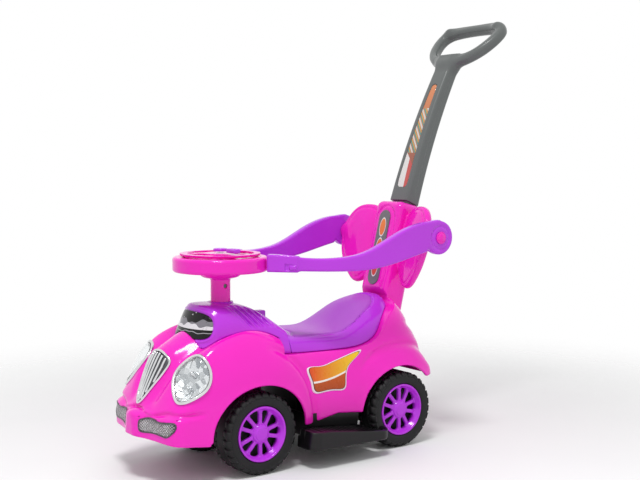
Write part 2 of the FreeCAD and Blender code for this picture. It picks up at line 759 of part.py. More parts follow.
path = [(along(dx), guard_half_width + dy) for dx, dy in arm_path]
plan = prism(band(path, arm_thickness / 2), (0, 0, far))
low_points = [(along(dx), 0, z) for dx, z in arm_low]
top_points = [(along(dx), 0, z) for dx, z in arm_top]
side_edges = [spline_edge(low_points), spline_edge(top_points)]
side_edges += line_edges([low_points[-1], top_points[-1]]) + line_edges([top_points[0], low_points[0]])
side_face = prism(Part.__sortEdges__(side_edges), (0, far, 0))
boss_disc = crossbar(pivot.x, pivot.z, 0, far, arm_boss_radius)
blend = polygon_prism([(pivot.x, 0, pivot.z), low_points[0], top_points[0]], (0, far, 0))
arm = plan.common(join([side_face, boss_disc, blend]))
end = Vector(path[-1][0], path[-1][1], 0)
toward = (end - Vector(path[-2][0], path[-2][1], 0)).normalize()
across = Vector(-toward.y, toward.x, 0)


def end_block(back, front, half, z0, z1):
    """Upright block in line with the arm, back and front measured along the arm from its front end."""
    places = ((back, -half), (front, -half), (front, half), (back, half))
    corners = [end + toward * s + across * t for s, t in places]
    return polygon_prism([(c.x, c.y, z0) for c in corners], (0, 0, z1 - z0))


tongue_z = tray_bottom + (tray_height - tongue_height) / 2
sleeve_half = tongue_thickness / 2 + tongue_room
sleeve_back = -tongue_length - arm_end_gap - 1
arm = arm.cut(end_block(sleeve_back, far, sleeve_half, 0, tongue_z + tongue_height + side_gap))
arm = arm.cut(upright(steer_x, 0, 0, far, tray_radius + arm_end_gap))
arm = arm.cut(crossbar(pivot.x, pivot.z, 0, far, pivot_pin_radius + shaft_gap))
nodes["guard_arm_left"] = arm
nodes["guard_arm_right"] = mirrored(arm)
tongue_top = tongue_z + tongue_height
tongue = end_block(-tongue_length, tray_radius * 0.6, tongue_thickness / 2, tongue_z, tongue_top)
tongue = tongue.cut(upright(steer_x, 0, 0, far, tray_radius - tray_wall / 2))
nodes["guard_tray"] = join([drum, tongue, mirrored(tongue)])

# Pivot caps: pins with a round head, one through each arm into the backrest
arm_outer = guard_half_width + arm_thickness / 2
cap_in = arm_outer + side_gap
cap_out = cap_in + 5.0
cap = crossbar(pivot.x, pivot.z, cap_in, cap_out, pivot_cap_radius)
cap = cap.makeFillet(3.5, [e for e in cap.Edges if e.BoundBox.YMin > cap_out - 0.01])
pin = crossbar(pivot.x, pivot.z, arm_inner - side_gap - pin_depth, cap_in + 1, pivot_pin_radius)
nodes["pivot_cap_left"] = cap.fuse(pin).removeSplitter()
nodes["pivot_cap_right"] = mirrored(nodes["pivot_cap_left"])

# Steering rod: steel, from the pan up to the wheel, with a crank and its pin for the tie bar
crank_z = axle_z + 12
crank_height = 6.0
tie_z = crank_z + crank_height + 5
tie_top = tie_z + tie_bar_thickness
rod_top = tray_top + wheel_hub_height * 0.5
steel = upright(steer_x, 0, pan_bottom - 2, rod_top, axle_radius)


def steering_arm(x, y, hub):
    """Flat arm that runs back from an upright axis to its pin."""
    half = steer_pin_radius + 2
    arm_bar = box(x - steer_arm, x, y - half, y + half, crank_z, crank_z + crank_height)
    tip = upright(x - steer_arm, y, crank_z, crank_z + crank_height, half)
    middle = upright(x, y, crank_z, crank_z + crank_height, hub)
    stud = upright(x - steer_arm, y, crank_z, tie_top + 2, steer_pin_radius)
    return join([arm_bar, tip, middle, stud])


steel = join([steel, steering_arm(steer_x, 0, axle_radius + 3)])
cross_hole = crossbar(steer_x, cross_screw_z, -far, far, cross_screw_radius + shaft_gap)
nodes["steering_rod"] = steel.cut(cross_hole)

# Steering column: the pink tube over the rod, widening into a flange under the tray
tube = upright(steer_x, 0, column_bottom, column_top + 1, column_radius)
flange = Part.makeCone(column_radius + 12, flange_radius, flange_height, Vector(steer_x, 0, column_top))
tube = join([tube, flange])
tube = tube.cut(upright(steer_x, 0, column_bottom + 10, cross_screw_z - 14, column_radius - column_wall))
tube = tube.cut(upright(steer_x, 0, 0, far, axle_radius + shaft_gap)).cut(cross_hole)
head_depth = 3.0
head_seat = column_radius - head_depth
tube = tube.cut(crossbar(steer_x, cross_screw_z, head_seat, far, screw_head_radius + seat_gap))
nodes["steering_column"] = tube
screw_tail = crossbar(steer_x, cross_screw_z, -column_radius + 1, head_seat, cross_screw_radius)
screw_head = crossbar(steer_x, cross_screw_z, head_seat, head_seat + screw_head_height, screw_head_radius)
nodes["column_screw"] = screw_tail.fuse(screw_head).removeSplitter()

# Steering wheel: a ring on three spokes with a hub that holds the horn button
hub_base = tray_top + side_gap
ring_z = hub_base + wheel_ring_tube
wheel = Part.makeTorus(wheel_ring_radius, wheel_ring_tube, Vector(steer_x, 0, ring_z))
wheel_parts = [wheel, upright(steer_x, 0, hub_base, hub_base + wheel_hub_height, wheel_hub_radius)]
for angle in (90, 210, 330):
    spoke = box(0, wheel_ring_radius, -9, 9, ring_z - 3, ring_z + 3)
    spoke.rotate(Vector(0, 0, 0), Vector(0, 0, 1), angle)
    spoke.translate(Vector(steer_x, 0, 0))
    wheel_parts.append(spoke)
sleeve_gap = side_gap * 2
wheel_parts.append(upright(steer_x, 0, column_top + flange_height, hub_base + 1, tray_hole - sleeve_gap))
wheel = join(wheel_parts)
wheel = wheel.cut(upright(steer_x, 0, 0, rod_top, axle_radius + shaft_gap))
hub_top = hub_base + wheel_hub_height
horn_floor = rod_top + 1
wheel = wheel.cut(upright(steer_x, 0, horn_floor, far, horn_radius + side_gap))
nodes["steering_wheel"] = wheel
horn_bottom = horn_floor + horn_travel + side_gap
horn = upright(steer_x, 0, horn_bottom, hub_top + horn_height * 0.5, horn_radius)
nodes["horn_button"] = horn.makeFillet(1.5, [e for e in horn.Edges if e.BoundBox.ZMin > hub_top])

# Tie bar: slides across the car on the three steering pins
turn = math.radians(steer_limit)
pin_swing = steer_arm * (turn - math.sin(turn)) + side_gap
pin_draw = steer_arm * (1 - math.cos(turn)) + side_gap
bar_back = front_x - steer_arm - steer_pin_radius - 6
bar_end = kingpin_y + 10
bar = box(bar_back, bar_back + tie_bar_width, -bar_end, bar_end, tie_z, tie_top)
for x, y in ((steer_x, 0), (front_x, kingpin_y), (front_x, -kingpin_y)):
    half_y = steer_pin_radius + pin_swing
    pin_at = x - steer_arm
    half_x = steer_pin_radius + pin_draw
    bar = bar.cut(box(pin_at - steer_pin_radius - side_gap, pin_at + half_x, y - half_y, y + half_y, 0, far))
nodes["tie_bar"] = bar

# Steering bridge: a bar above the tie bar that holds the tops of the kingpins and steadies the rod
bridge_z = tie_top + 5
bridge_end = kingpin_y + 11
bridge_top = bridge_z + bridge_thickness
bridge = box(front_x - 10, steer_x + 12, -bridge_end, bridge_end, bridge_z, bridge_top)
posts = [upright(front_x + 16, s * 26, pan_top, bridge_z, 6) for s in (1, -1)]
bridge = join([bridge] + posts)
bridge = bridge.cut(upright(steer_x, 0, 0, far, axle_radius + shaft_gap))
for side in (1, -1):
    bridge = bridge.cut(upright(front_x, side * kingpin_y, 0, far, kingpin_radius + shaft_gap))
nodes["steering_bridge"] = bridge
pin_top = bridge_top + 2
pins = [upright(front_x, side * kingpin_y, pan_bottom - 2, pin_top, kingpin_radius) for side in (1, -1)]
nodes["kingpins"] = Part.makeCompound(pins)

# Knuckles: a boss that turns on the kingpin, with a steering arm behind and a block for the stub axle
hub_in = tyre_face - hub_inset - hub_length
hub_out = tyre_face - hub_inset
block_out = hub_in - side_gap
knuckle_foot = pan_top + side_gap
stub_in = kingpin_y + kingpin_radius + 2


def knuckle(side):
    y = side * kingpin_y
    boss = upright(front_x, y, knuckle_foot, crank_z + crank_height, knuckle_radius)
    near, out = sorted((y, side * block_out))
    half = knuckle_radius - 1
    block = box(front_x - half, front_x + half, near, out, knuckle_foot, crank_z - 2)
    whole = join([boss, block, steering_arm(front_x, y, knuckle_radius)])
    whole = whole.cut(upright(front_x, y, 0, far, kingpin_radius + shaft_gap))
    bore = crossbar(front_x, axle_z, side * stub_in, side * far, axle_radius + shaft_gap / 2)
    return whole.cut(bore)


nut_in = hub_out + side_gap
axle_end = nut_in + nut_thickness + 1.5
stub = crossbar(front_x, axle_z, stub_in, axle_end, axle_radius)
nut = crossbar(0, axle_z, nut_in, nut_in + nut_thickness, nut_radius)
nut = nut.cut(crossbar(0, axle_z, 0, far, axle_radius))
front_nut = nut.copy()
front_nut.translate(Vector(front_x, 0, 0))
nodes["knuckle_left"] = knuckle(1)
nodes["knuckle_right"] = knuckle(-1)
for name, shape in (("stub_axle", stub), ("stub_nut", front_nut)):
    nodes[f"{name}_left"] = shape
    nodes[f"{name}_right"] = mirrored(shape)

# Rear axle and its two nuts
nodes["rear_axle"] = crossbar(rear_x, axle_z, -axle_end, axle_end, axle_radius)
rear_nut = nut.copy()
rear_nut.translate(Vector(rear_x, 0, 0))
nodes["rear_axle_nuts"] = Part.makeCompound([rear_nut, mirrored(rear_nut)])

# Tyres: blow-moulded, with a web and a hub, and slots between the lugs round both shoulders
tyre_in = tyre_face - tyre_width
web_out = tyre_face - web_inset
web_in = web_out - web_thickness
inner_recess = tyre_radius - 13
rim_seat = rim_radius + seat_gap
tyre = turned([
    (axle_radius + shaft_gap, hub_in), (hub_radius, hub_in), (hub_radius, web_in), (inner_recess, web_in),
    (inner_recess, tyre_in), (tyre_radius - tyre_shoulder, tyre_in), (tyre_radius, tyre_in + tyre_shoulder),
    (tyre_radius, tyre_face - tyre_shoulder), (tyre_radius - tyre_shoulder, tyre_face),
    (rim_seat + 3, tyre_face), (rim_seat, tyre_face - 3), (rim_seat, web_out), (hub_radius, web_out),
    (hub_radius, hub_out),
    (axle_radius + shaft_gap, hub_out),
])
slots = []
for i in range(lug_count):
    for y0, y1 in ((tyre_in - 1, tyre_in + lug_reach), (tyre_face - lug_reach, tyre_face + 1)):
        slot = box(tyre_radius - lug_depth, tyre_radius + lug_depth, y0, y1, -lug_slot / 2, lug_slot / 2)
        slot.rotate(Vector(0, 0, 0), Vector(0, 1, 0), 90 + 360 / lug_count * (i + 0.5))
        slots.append(slot)
tyre = tyre.cut(Part.makeCompound(slots))

# Rims: a purple dish pressed into the tyre, with windows between five pairs of spokes
cap_face = tyre_face - 3.5
dish_out = tyre_face - 11.5
nut_room = nut_radius + 1.5
rim = turned([
    (0, axle_end + 1), (0, cap_face), (nut_room + 2.5, cap_face), (nut_room + 5.5, cap_face - 2.5),
    (nut_room + 6.5, dish_out + 2.5), (rim_window_out + 2, dish_out), (rim_radius - rim_lip - 1, cap_face),
    (rim_radius - rim_lip + 1, tyre_face - 1), (rim_radius, tyre_face - 1), (rim_radius, web_out),
    (rim_radius - rim_lip, web_out), (rim_window_out + 3, dish_out - 5), (hub_radius, hub_out),
    (nut_room, hub_out), (nut_room, axle_end + 1),
])
window_in = nut_room + 9
windows = []
for i in range(2 * spoke_pairs):
    narrow, wide = ((2.6, 9.0), (4.8, 8.6))[i % 2]
    corners = [(window_in, 0, -narrow), (rim_window_out, 0, -wide)]
    corners += [(rim_window_out, 0, wide), (window_in, 0, narrow)]
    window = polygon_prism(corners, (0, far, 0))
    uprights = [e for e in window.Edges if abs(e.tangentAt(e.FirstParameter).y) > 0.5]
    window = window.makeFillet(2.2, uprights)
    window.rotate(Vector(0, 0, 0), Vector(0, 1, 0), 180 / spoke_pairs * i)
    windows.append(window)
rim = rim.cut(Part.makeCompound(windows))
for end_name, x in (("front", front_x), ("rear", rear_x)):
    for name, shape in (("tyre", tyre), ("rim", rim)):
        placed = shape.copy()
        placed.translate(Vector(x, 0, axle_z))
        nodes[f"{name}_{end_name}_left"] = placed
        nodes[f"{name}_{end_name}_right"] = mirrored(placed)

# Foot board: one black moulding that passes under the pan, with a wedge tread at each side
tread_x = (along(-268), along(-82))
tread_in = 96.0
tread_out = 162.0
steer_room = 27.0  # for the rear of a front wheel that is turned full over
steer_room_width = 14.0
tread_side = [(tread_x[1], 0, 36), (tread_x[1] - 4, 0, 70), (tread_x[1] - 40, 0, 68)]
tread_side += [(tread_x[0] + 12, 0, 50), (tread_x[0], 0, 54), (tread_x[0], 0, 33)]
tread = polygon_prism(tread_side, (0, far, 0))
tread_plan = box(*tread_x, tread_in, tread_out, 0, far)
outside = [e for e in tread_plan.Edges if e.BoundBox.YMin > tread_in + 1]
corners = [e for e in outside if abs(e.tangentAt(e.FirstParameter).z) > 0.5]
tread_plan = tread_plan.makeFillet(22, corners)
tread = tread.common(tread_plan)
beam = box(along(-235), along(-120), -tread_in - 1, tread_in + 1, pan_bottom - 16, pan_bottom)
wheel_room = [crossbar(x, axle_z, 0, far, tyre_radius + 12) for x in (front_x, rear_x)]
for wheel_space in wheel_room:
    tread = tread.cut(wheel_space.common(box(-far, far, 0, tyre_face + 6, 0, far)))
turned_wheel = crossbar(front_x, axle_z, 0, tread_in + steer_room_width, tyre_radius + steer_room)
tread = tread.cut(turned_wheel)
tread = tread.cut(hull_at(side_gap).common(box(-far, far, 0, far, pan_bottom - side_gap, far)))
nodes["foot_board"] = join([beam, tread, mirrored(tread)])

# Push handle: a tapered shaft on a tongue, ending in a loop that leans back further
neck = handle_shaft


def shaft_section(part):
    """Rounded rectangle across the shaft, part of the way up it."""
    half_w = (handle_width + (handle_neck_width - handle_width) * part) / 2
    half_d = (handle_depth + (handle_neck_depth - handle_depth) * part) / 2
    z = neck * part
    middle = bow_at(part)
    corner = 7.0
    edges = []
    places = ((half_d, half_w), (-half_d, half_w), (-half_d, -half_w), (half_d, -half_w))
    for i, (x, y) in enumerate(places):
        start = math.radians(90 * i)
        cx = middle + x - math.copysign(corner, x)
        cy = y - math.copysign(corner, y)
        arc = [Vector(cx + corner * math.cos(start + t), cy + corner * math.sin(start + t), z)
               for t in (0, math.pi / 4, math.pi / 2)]
        if edges:
            edges.append(Part.makeLine(last, arc[0]))
        else:
            first = arc[0]
        edges.append(Part.Arc(*arc).toShape())
        last = arc[2]
    edges.append(Part.makeLine(last, first))
    return Part.Wire(edges)


def bow_at(part):
    return 4 * handle_bow * part * (1 - part)


shaft_parts = (0, 0.25, 0.5, 0.75, 1)
shaft = Part.makeLoft([shaft_section(part) for part in shaft_parts], True, False)
tongue_box = box(-tongue_depth / 2, tongue_depth / 2, -half_tongue, half_tongue, -tongue_insert, 5)
shaft = along_handle(shaft.fuse(tongue_box))
neck_x = along(handle_root_x) - handle_run
neck_z = handle_root_z + neck * math.cos(lean)


def loop_points(inset):
    """Outline of the grip: a rounded triangle, wide at its back."""
    width = grip_half_width - inset
    top = grip_length - inset
    start = -18 + inset * 2.0
    span = top - start
    half = [(20 - inset * 0.5, start), (width * 0.62, start + span * 0.30)]
    half += [(width * 0.94, start + span * 0.58), (width * 0.96, start + span * 0.84)]
    half += [(width * 0.70, top - 3), (width * 0.3, top)]
    return half + [(-y, v) for y, v in reversed(half)]


def loop_solid(points):
    curve = Part.BSplineCurve()
    curve.interpolate(Points=[Vector(-half_grip, y, v) for y, v in points], PeriodicFlag=True)
    return prism([curve.toShape()], (grip_thickness, 0, 0))


loop = loop_solid(loop_points(0)).cut(loop_solid(loop_points(grip_bar)))
loop = loop.makeFillet(grip_round, loop.Edges)
loop.rotate(Vector(0, 0, 0), Vector(0, 1, 0), -grip_lean)
loop.translate(Vector(neck_x, 0, neck_z))
handle = join([shaft, loop])
slot_half = 11.0
slot_span = (0.14, 0.80)
slot_depth = 2.5
label_thickness = 1.5


def front_strip(depth, height, half, ends):
    """Strip along the shaft's front, from the depth below it up to the height above that."""
    steps = 8
    low = []
    high = []
    for i in range(steps + 1):
        part = ends[0] + (ends[1] - ends[0]) * i / steps
        half_d = (handle_depth + (handle_neck_depth - handle_depth) * part) / 2
        x = bow_at(part) + half_d - depth
        low.append((x, -half, neck * part))
        high.append((x + height, -half, neck * part))
    edges = [spline_edge(low), spline_edge(high)]
    edges += line_edges([low[0], high[0]]) + line_edges([low[-1], high[-1]])
    return prism(Part.__sortEdges__(edges), (0, 2 * half, 0))


handle = handle.cut(along_handle(front_strip(slot_depth, 20, slot_half, slot_span)))
nodes["push_handle"] = handle
label_ends = (slot_span[0] + seat_gap / neck, slot_span[1] - seat_gap / neck)
label = front_strip(slot_depth, label_thickness, slot_half - seat_gap, label_ends)
nodes["handle_panel"] = along_handle(label)

os.makedirs("parts", exist_ok=True)
for name, shape in nodes.items():
    shape.exportStep(f"parts/{name}.step")
    solids = len(shape.Solids)
    print(name, solids, round(shape.Volume / 1000, 1), shape.isValid())
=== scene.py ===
import math

import bpy
import numpy as np
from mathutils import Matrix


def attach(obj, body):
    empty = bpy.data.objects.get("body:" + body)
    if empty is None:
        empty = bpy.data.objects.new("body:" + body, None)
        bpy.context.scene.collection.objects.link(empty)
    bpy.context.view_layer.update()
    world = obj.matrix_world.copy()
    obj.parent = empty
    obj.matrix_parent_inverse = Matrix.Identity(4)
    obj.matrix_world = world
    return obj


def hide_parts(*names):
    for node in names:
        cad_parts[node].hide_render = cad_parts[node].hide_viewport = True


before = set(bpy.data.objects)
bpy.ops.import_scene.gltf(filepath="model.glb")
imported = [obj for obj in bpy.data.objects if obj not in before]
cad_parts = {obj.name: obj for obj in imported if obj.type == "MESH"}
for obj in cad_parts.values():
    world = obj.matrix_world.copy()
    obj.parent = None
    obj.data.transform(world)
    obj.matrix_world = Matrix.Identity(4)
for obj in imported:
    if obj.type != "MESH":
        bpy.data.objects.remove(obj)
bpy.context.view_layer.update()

# Body shell: the car's tub with four fenders, a nose hump and a bumper, blow-moulded in hot pink plastic.
# It is hollow and open below, and is screwed to the pan; the wheel arches have a thin rolled lip.
front_x = 225.0
rear_x = -99.0
axle_z = 74.0
steer_x = 237.0
# Each line: place ahead of its axle, half width of the keel, then half width and height over the axle at
# four marks up the side, and the height of the middle.
front_lines = (
    (200, 14, 17, 18, 14, 36, 10, 44, 5, 47, 48),
    (192, 27, 30, 18, 27, 40, 18, 48, 9, 51, 52),
    (182, 62, 70, 16, 64, 42, 45, 50, 22, 54, 57),
    (172, 104, 110, 16, 106, 42, 80, 54, 38, 66, 78),
    (160, 114, 119, 18, 115, 48, 88, 72, 44, 92, 106),
    (140, 117, 121, 22, 116, 64, 92, 102, 52, 124, 144),
    (114, 119, 122, 31, 118, 91, 97, 140, 60, 144, 164),
    (85, 119, 124, 41, 121, 106, 97, 162, 64, 158, 179),
    (45, 119, 125, 51, 122, 121, 95, 176, 66, 170, 182),
    (0, 119, 125, 56, 122, 126, 93, 180, 66, 176, 182),
    (-45, 117, 124, 56, 121, 118, 94, 166, 66, 169, 172),
    (-85, 112, 120, 51, 116, 101, 97, 143, 66, 156, 160),
    (-130, 107, 113, 46, 110, 91, 99, 134, 66, 154, 158),
)
rear_lines = (
    (134, 106, 112, 46, 110, 91, 100, 134, 66, 156, 160),
    (85, 109, 117, 51, 113, 98, 100, 141, 66, 171, 176),
    (40, 113, 123, 61, 117, 108, 99, 154, 66, 194, 200),
    (0, 115, 125, 66, 118, 114, 98, 162, 66, 208, 216),
    (-35, 114, 124, 68, 116, 111, 94, 154, 62, 198, 210),
    (-65, 110, 119, 64, 109, 98, 86, 131, 56, 161, 172),
    (-88, 100, 108, 58, 98, 78, 78, 98, 50, 116, 123),
    (-96, 92, 98, 56, 90, 70, 72, 86, 46, 98, 103),
)


def spline(values, steps, places, closed=False):
    """Cubic curve through rows of values that lie the given steps apart, read at places along it."""
    values = np.asarray(values, float)
    last = len(steps)
    slopes = np.diff(values, axis=0) / steps[:, None]
    matrix = np.zeros((last + 1, last + 1))
    right = np.zeros_like(values)
    for i in range(1, last):
        matrix[i, i - 1 : i + 2] = steps[i - 1], 2 * (steps[i - 1] + steps[i]), steps[i]
        right[i] = 6 * (slopes[i] - slopes[i - 1])
    matrix[0, 0] = 1
    matrix[last, last] = 1
    if closed:
        matrix[0, last] = -1
        matrix[last] = 0
        matrix[last, :2] = 2 * steps[0], steps[0]
        matrix[last, last - 1 :] += (steps[-1], 2 * steps[-1])
        right[last] = 6 * (slopes[0] - slopes[-1])
    bend = np.linalg.solve(matrix, right)
    marks = np.concatenate([[0], np.cumsum(steps)])
    k = np.clip(np.searchsorted(marks, places, side="right") - 1, 0, last - 1)
    span = steps[k][:, None]
    a = (marks[k + 1] - places)[:, None] / span
    b = 1 - a
    bent = (a**3 - a) * bend[k] + (b**3 - b) * bend[k + 1]
    return a * values[k] + b * values[k + 1] + bent * span**2 / 6


def curve(points, count, closed=False):
    """Evenly parted places on a smooth curve through points."""
    points = np.asarray(points, float)
    ends = np.vstack([points, points[:1]]) if closed else points
    steps = np.sqrt(np.linalg.norm(np.diff(ends, axis=0), axis=1))
    places = np.linspace(0, steps.sum(), count, endpoint=not closed)
    return spline(ends, steps, places, closed)


def read(table, a, b):
    """Value of a table between its entries, at places given in entries."""
    a = np.clip(a, 0, table.shape[0] - 1.001)
    b = np.clip(b, 0, table.shape[1] - 1.001)
    i = a.astype(np.int32)
    j = b.astype(np.int32)
    a = a - i
    b = b - j
    near = table[i, j] * (1 - b) + table[i, j + 1] * b
    far = table[i + 1, j] * (1 - b) + table[i + 1, j + 1] * b
    return near * (1 - a) + far * a


def smooth_max(a, b, radius):
    """The larger of two fields, with a round of about the radius where they meet."""
    part = np.clip(0.5 + 0.5 * (a - b) / radius, 0, 1)
    return b + (a - b) * part + radius * part * (1 - part)


def smooth_min(a, b, radius):
    return -smooth_max(-a, -b, radius)


def cut(whole, tool, radius):
    """A form's field without the form of a tool."""
    return smooth_max(whole, -tool, radius)


def bell(value, width):
    """1 where a value is 0, falling off smoothly on both sides over about the width."""
    return np.exp(-((value / width) ** 2))


def ramp(value, run):
    """0 up to a value of 0, then rising straight to 1 over the run."""
    return np.clip(value / run, 0, 1)


def lofted(stations, end_round):
    """Field of a closed form through upright half sections: (x, middle height, [(y, z), ...])."""
    xs = np.array([s[0] for s in stations], float)
    middles = np.array([s[1] for s in stations], float)
    halves = np.array([s[2] for s in stations], float)
    loops = np.concatenate([halves, halves[:, -2:0:-1] * (-1, 1)], axis=1)
    shown = np.concatenate([loops, loops[:, :1]], axis=1)
    spacing = np.sqrt(np.linalg.norm(np.diff(shown[len(xs) // 2], axis=0), axis=1))
    fine = np.linspace(0, spacing[: halves.shape[1] - 1].sum(), 160)
    columns = shown.transpose(1, 0, 2).reshape(shown.shape[1], -1)
    sections = spline(columns, spacing, fine, closed=True).reshape(len(fine), len(xs), 2)
    lines = np.concatenate([sections.transpose(1, 0, 2).reshape(len(xs), -1), xs[:, None]], axis=1)
    ahead = np.diff(xs)[:, None]
    across = np.linalg.norm(np.diff(halves, axis=0), axis=2)
    steps = np.hypot(ahead, across).mean(axis=1)
    places = np.linspace(0, steps.sum(), 900)
    dense = spline(lines, steps, places)
    low, high = sorted((xs[0], xs[-1]))
    grid = np.arange(low, high + 1)
    order = np.argsort(dense[:, -1])
    at = np.interp(grid, dense[order, -1], places[order])
    slices = spline(lines, steps, at)[:, :-1].reshape(len(grid), -1, 2)
    sort = np.argsort(xs)
    centre = np.interp(grid, xs[sort], middles[sort])
    turns = np.linspace(0, math.pi, 541)
    table = np.empty((len(grid), len(turns)), np.float32)
    for i, section in enumerate(slices):
        y = np.maximum(section[:, 0], 0)
        z = section[:, 1] - centre[i]
        turn = np.maximum.accumulate(np.arctan2(y, -z))
        table[i] = np.interp(turns, turn, np.hypot(y, z))
    by_x, by_turn = np.gradient(table, 1.0, turns[1])
    ease = (1 / np.sqrt(1 + (by_turn / table) ** 2 + by_x**2)).astype(np.float32)
    centre = centre.astype(np.float32)

    def field(x, y, z):
        row = x - low
        middle = np.interp(x, grid, centre)
        turn = np.arctan2(np.abs(y), middle - z) / turns[1]
        out = np.hypot(y, z - middle) - read(table, row, turn)
        out = out * read(ease, row, turn)
        out = smooth_max(out, x - high, end_round)
        return smooth_max(out, low - x, end_round)

    return field


def outline(points, cell=1.0, margin=60.0):
    """Signed distance to a closed flat outline, negative inside, as a function of two coordinates."""
    points = np.asarray(points, float)
    low = points.min(axis=0) - margin
    size = ((points.max(axis=0) + margin - low) / cell).astype(int) + 1
    places = [start + cell * np.arange(count) for start, count in zip(low, size)]
    a, b = np.meshgrid(*places, indexing="ij")
    best = np.full(a.shape, 1e9)
    inside = np.zeros(a.shape, bool)
    for (a0, b0), (a1, b1) in zip(points, np.roll(points, -1, axis=0)):
        da = a1 - a0
        db = b1 - b0
        part = np.clip(((a - a0) * da + (b - b0) * db) / (da * da + db * db + 1e-9), 0, 1)
        best = np.minimum(best, (a - a0 - part * da) ** 2 + (b - b0 - part * db) ** 2)
        if db:
            crossing = (b0 > b) != (b1 > b)
            inside ^= crossing & (a < a0 + (b - b0) * da / db)
    table = np.where(inside, -np.sqrt(best), np.sqrt(best)).astype(np.float32)
    return lambda u, v: read(table, (u - low[0]) / cell, (v - low[1]) / cell)


def oval(a, b, half_a, half_b):
    """About the distance to an oval's edge, negative inside."""
    size = np.sqrt((a / half_a) ** 2 + (b / half_b) ** 2) + 1e-6
    slope = np.sqrt((a / half_a**2) ** 2 + (b / half_b**2) ** 2) + 1e-6
    return (size - 1) * size / slope


def block(a, b, c, half_a, half_b, half_c, corner=0.0):
    """Distance to a block with rounded edges, negative inside."""
    a = np.abs(a) - half_a + corner
    b = np.abs(b) - half_b + corner
    c = np.abs(c) - half_c + corner
    out = np.sqrt(np.maximum(a, 0) ** 2 + np.maximum(b, 0) ** 2 + np.maximum(c, 0) ** 2)
    return out + np.minimum(np.maximum(np.maximum(a, b), c), 0) - corner


keel = -40
bilge = 12
body_stations = []
for axle_x, lines in ((front_x, front_lines), (rear_x, rear_lines)):
    for ahead, foot, *marks, top in lines:
        half = [(0, keel), (foot - bilge, keel), (foot, keel + bilge)]
        half += list(zip(marks[::2], marks[1::2])) + [(0, top)]
        body_stations.append((axle_x + ahead, axle_z + 8, [(y, axle_z + h) for y, h in half]))
body_form = lofted(body_stations, 6.0)
deck_points = ((-60, 207), (-95, 205), (-175, 203), (-238, 205), (-280, 219), (-303, 241), (-328, 262),
               (-348, 272), (-356, 285), (-357, 310))
deck_curve = [tuple(p) for p in curve([(front_x + dx, z) for dx, z in deck_points], 60)]
deck_region = outline(deck_curve + [(deck_curve[-1][0], 420), (deck_curve[0][0], 420)])
bottom_line = ((220, 0), (220, 81), (104, 67), (104, 72), (-116, 74), (-178, 85), (-239, 79), (-324, 79),
               (-392, 131), (-444, 131), (-444, 0))
under_region = outline([(front_x + dx, z) for dx, z in bottom_line])


class Face:
    """A flat frame set against the body's skin: across, up and out from a middle point."""

    def __init__(self, middle, facing):
        self.middle = np.array(middle, float)
        self.out = np.array(facing, float) / np.linalg.norm(facing)
        self.across = np.cross((0, 0, 1), self.out)
        self.across /= np.linalg.norm(self.across)
        self.up = np.cross(self.out, self.across)

    def read(self, x, y, z):
        away = (x - self.middle[0], y - self.middle[1], z - self.middle[2])
        return [sum(a * b for a, b in zip(away, axis)) for axis in (self.across, self.up, self.out)]

    def point(self, u, v, w):
        u, v, w = (np.asarray(value, float)[..., None] for value in (u, v, w))
        return self.middle + u * self.across + v * self.up + w * self.out


bumper_step = 5
# Each groove is part of an oval round a wheel: its half lengths, depth and width, and where it fades out
# to the front and to the middle.
fender_grooves = (
    (front_x, (124, 152), 5, 7, (210, 40), (72, 20)),
    (rear_x, (134, 128), 5.5, 7, (0, 40), (72, 20)),
    (rear_x, (160, 168), 4, 6, (-130, 30), (40, 30)),
)


def skin_field(x, y, z):
    """Body form with its pressed relief: hood valleys, the bumper's step and the fenders' edges."""
    side = np.abs(y)
    valley_y = np.interp(x, (280, 330, 370, 398), (56, 52, 45, 32))
    valley_depth = np.interp(x, (268, 305, 345, 380, 404), (0, 8, 11, 8, 0))
    relief = valley_depth * bell(side - valley_y, 14) * ramp(z - 118, 20)
    step_z = 121 + 4 * np.cos(np.clip(side, 0, 90) / 90 * 2 * math.pi)
    relief = relief + bumper_step * ramp(x - 335, 25) * bell(z - step_z, 4.5)
    for wheel_x, halves, depth, width, (end_x, end_run), (start_y, side_run) in fender_grooves:
        edge = oval(x - wheel_x, z - axle_z, *halves)
        faded = ramp(end_x - x, end_run) * ramp(side - start_y, side_run)
        relief = relief + depth * faded * bell(edge, width)
    return body_form(x, side, z) + relief


lamp_face = Face((front_x + 137, 99, 188), (0.74, 0.40, 0.54))
lamp_points = ((-6, -43), (16, -30), (31, -4), (29, 24), (10, 42), (-14, 39), (-31, 16), (-27, -18))
lamp_outline = outline(curve(lamp_points, 72, closed=True), margin=30)
mesh_face = Face((front_x + 181, 70, 101), (0.96, 0.26, 0.08))
mesh_points = ((-46, 6), (-40, 10), (-22, 14), (8, 11), (39, 14), (45, 11), (43, 1), (30, -10), (23, -12),
               (-10, -10), (-41, -12), (-46, -8))
mesh_outline = outline(curve(mesh_points, 96, closed=True), margin=30)
body_wall = 5.4
arch_bead = 1.4
pocket_depth = 3.0
front_arch = (100, 87)
rear_arch = (90, 87)
pin_x = -115.0
pin_z = 280.0
eye_radius = 5.5
eye_half = 4
lug_y = 23


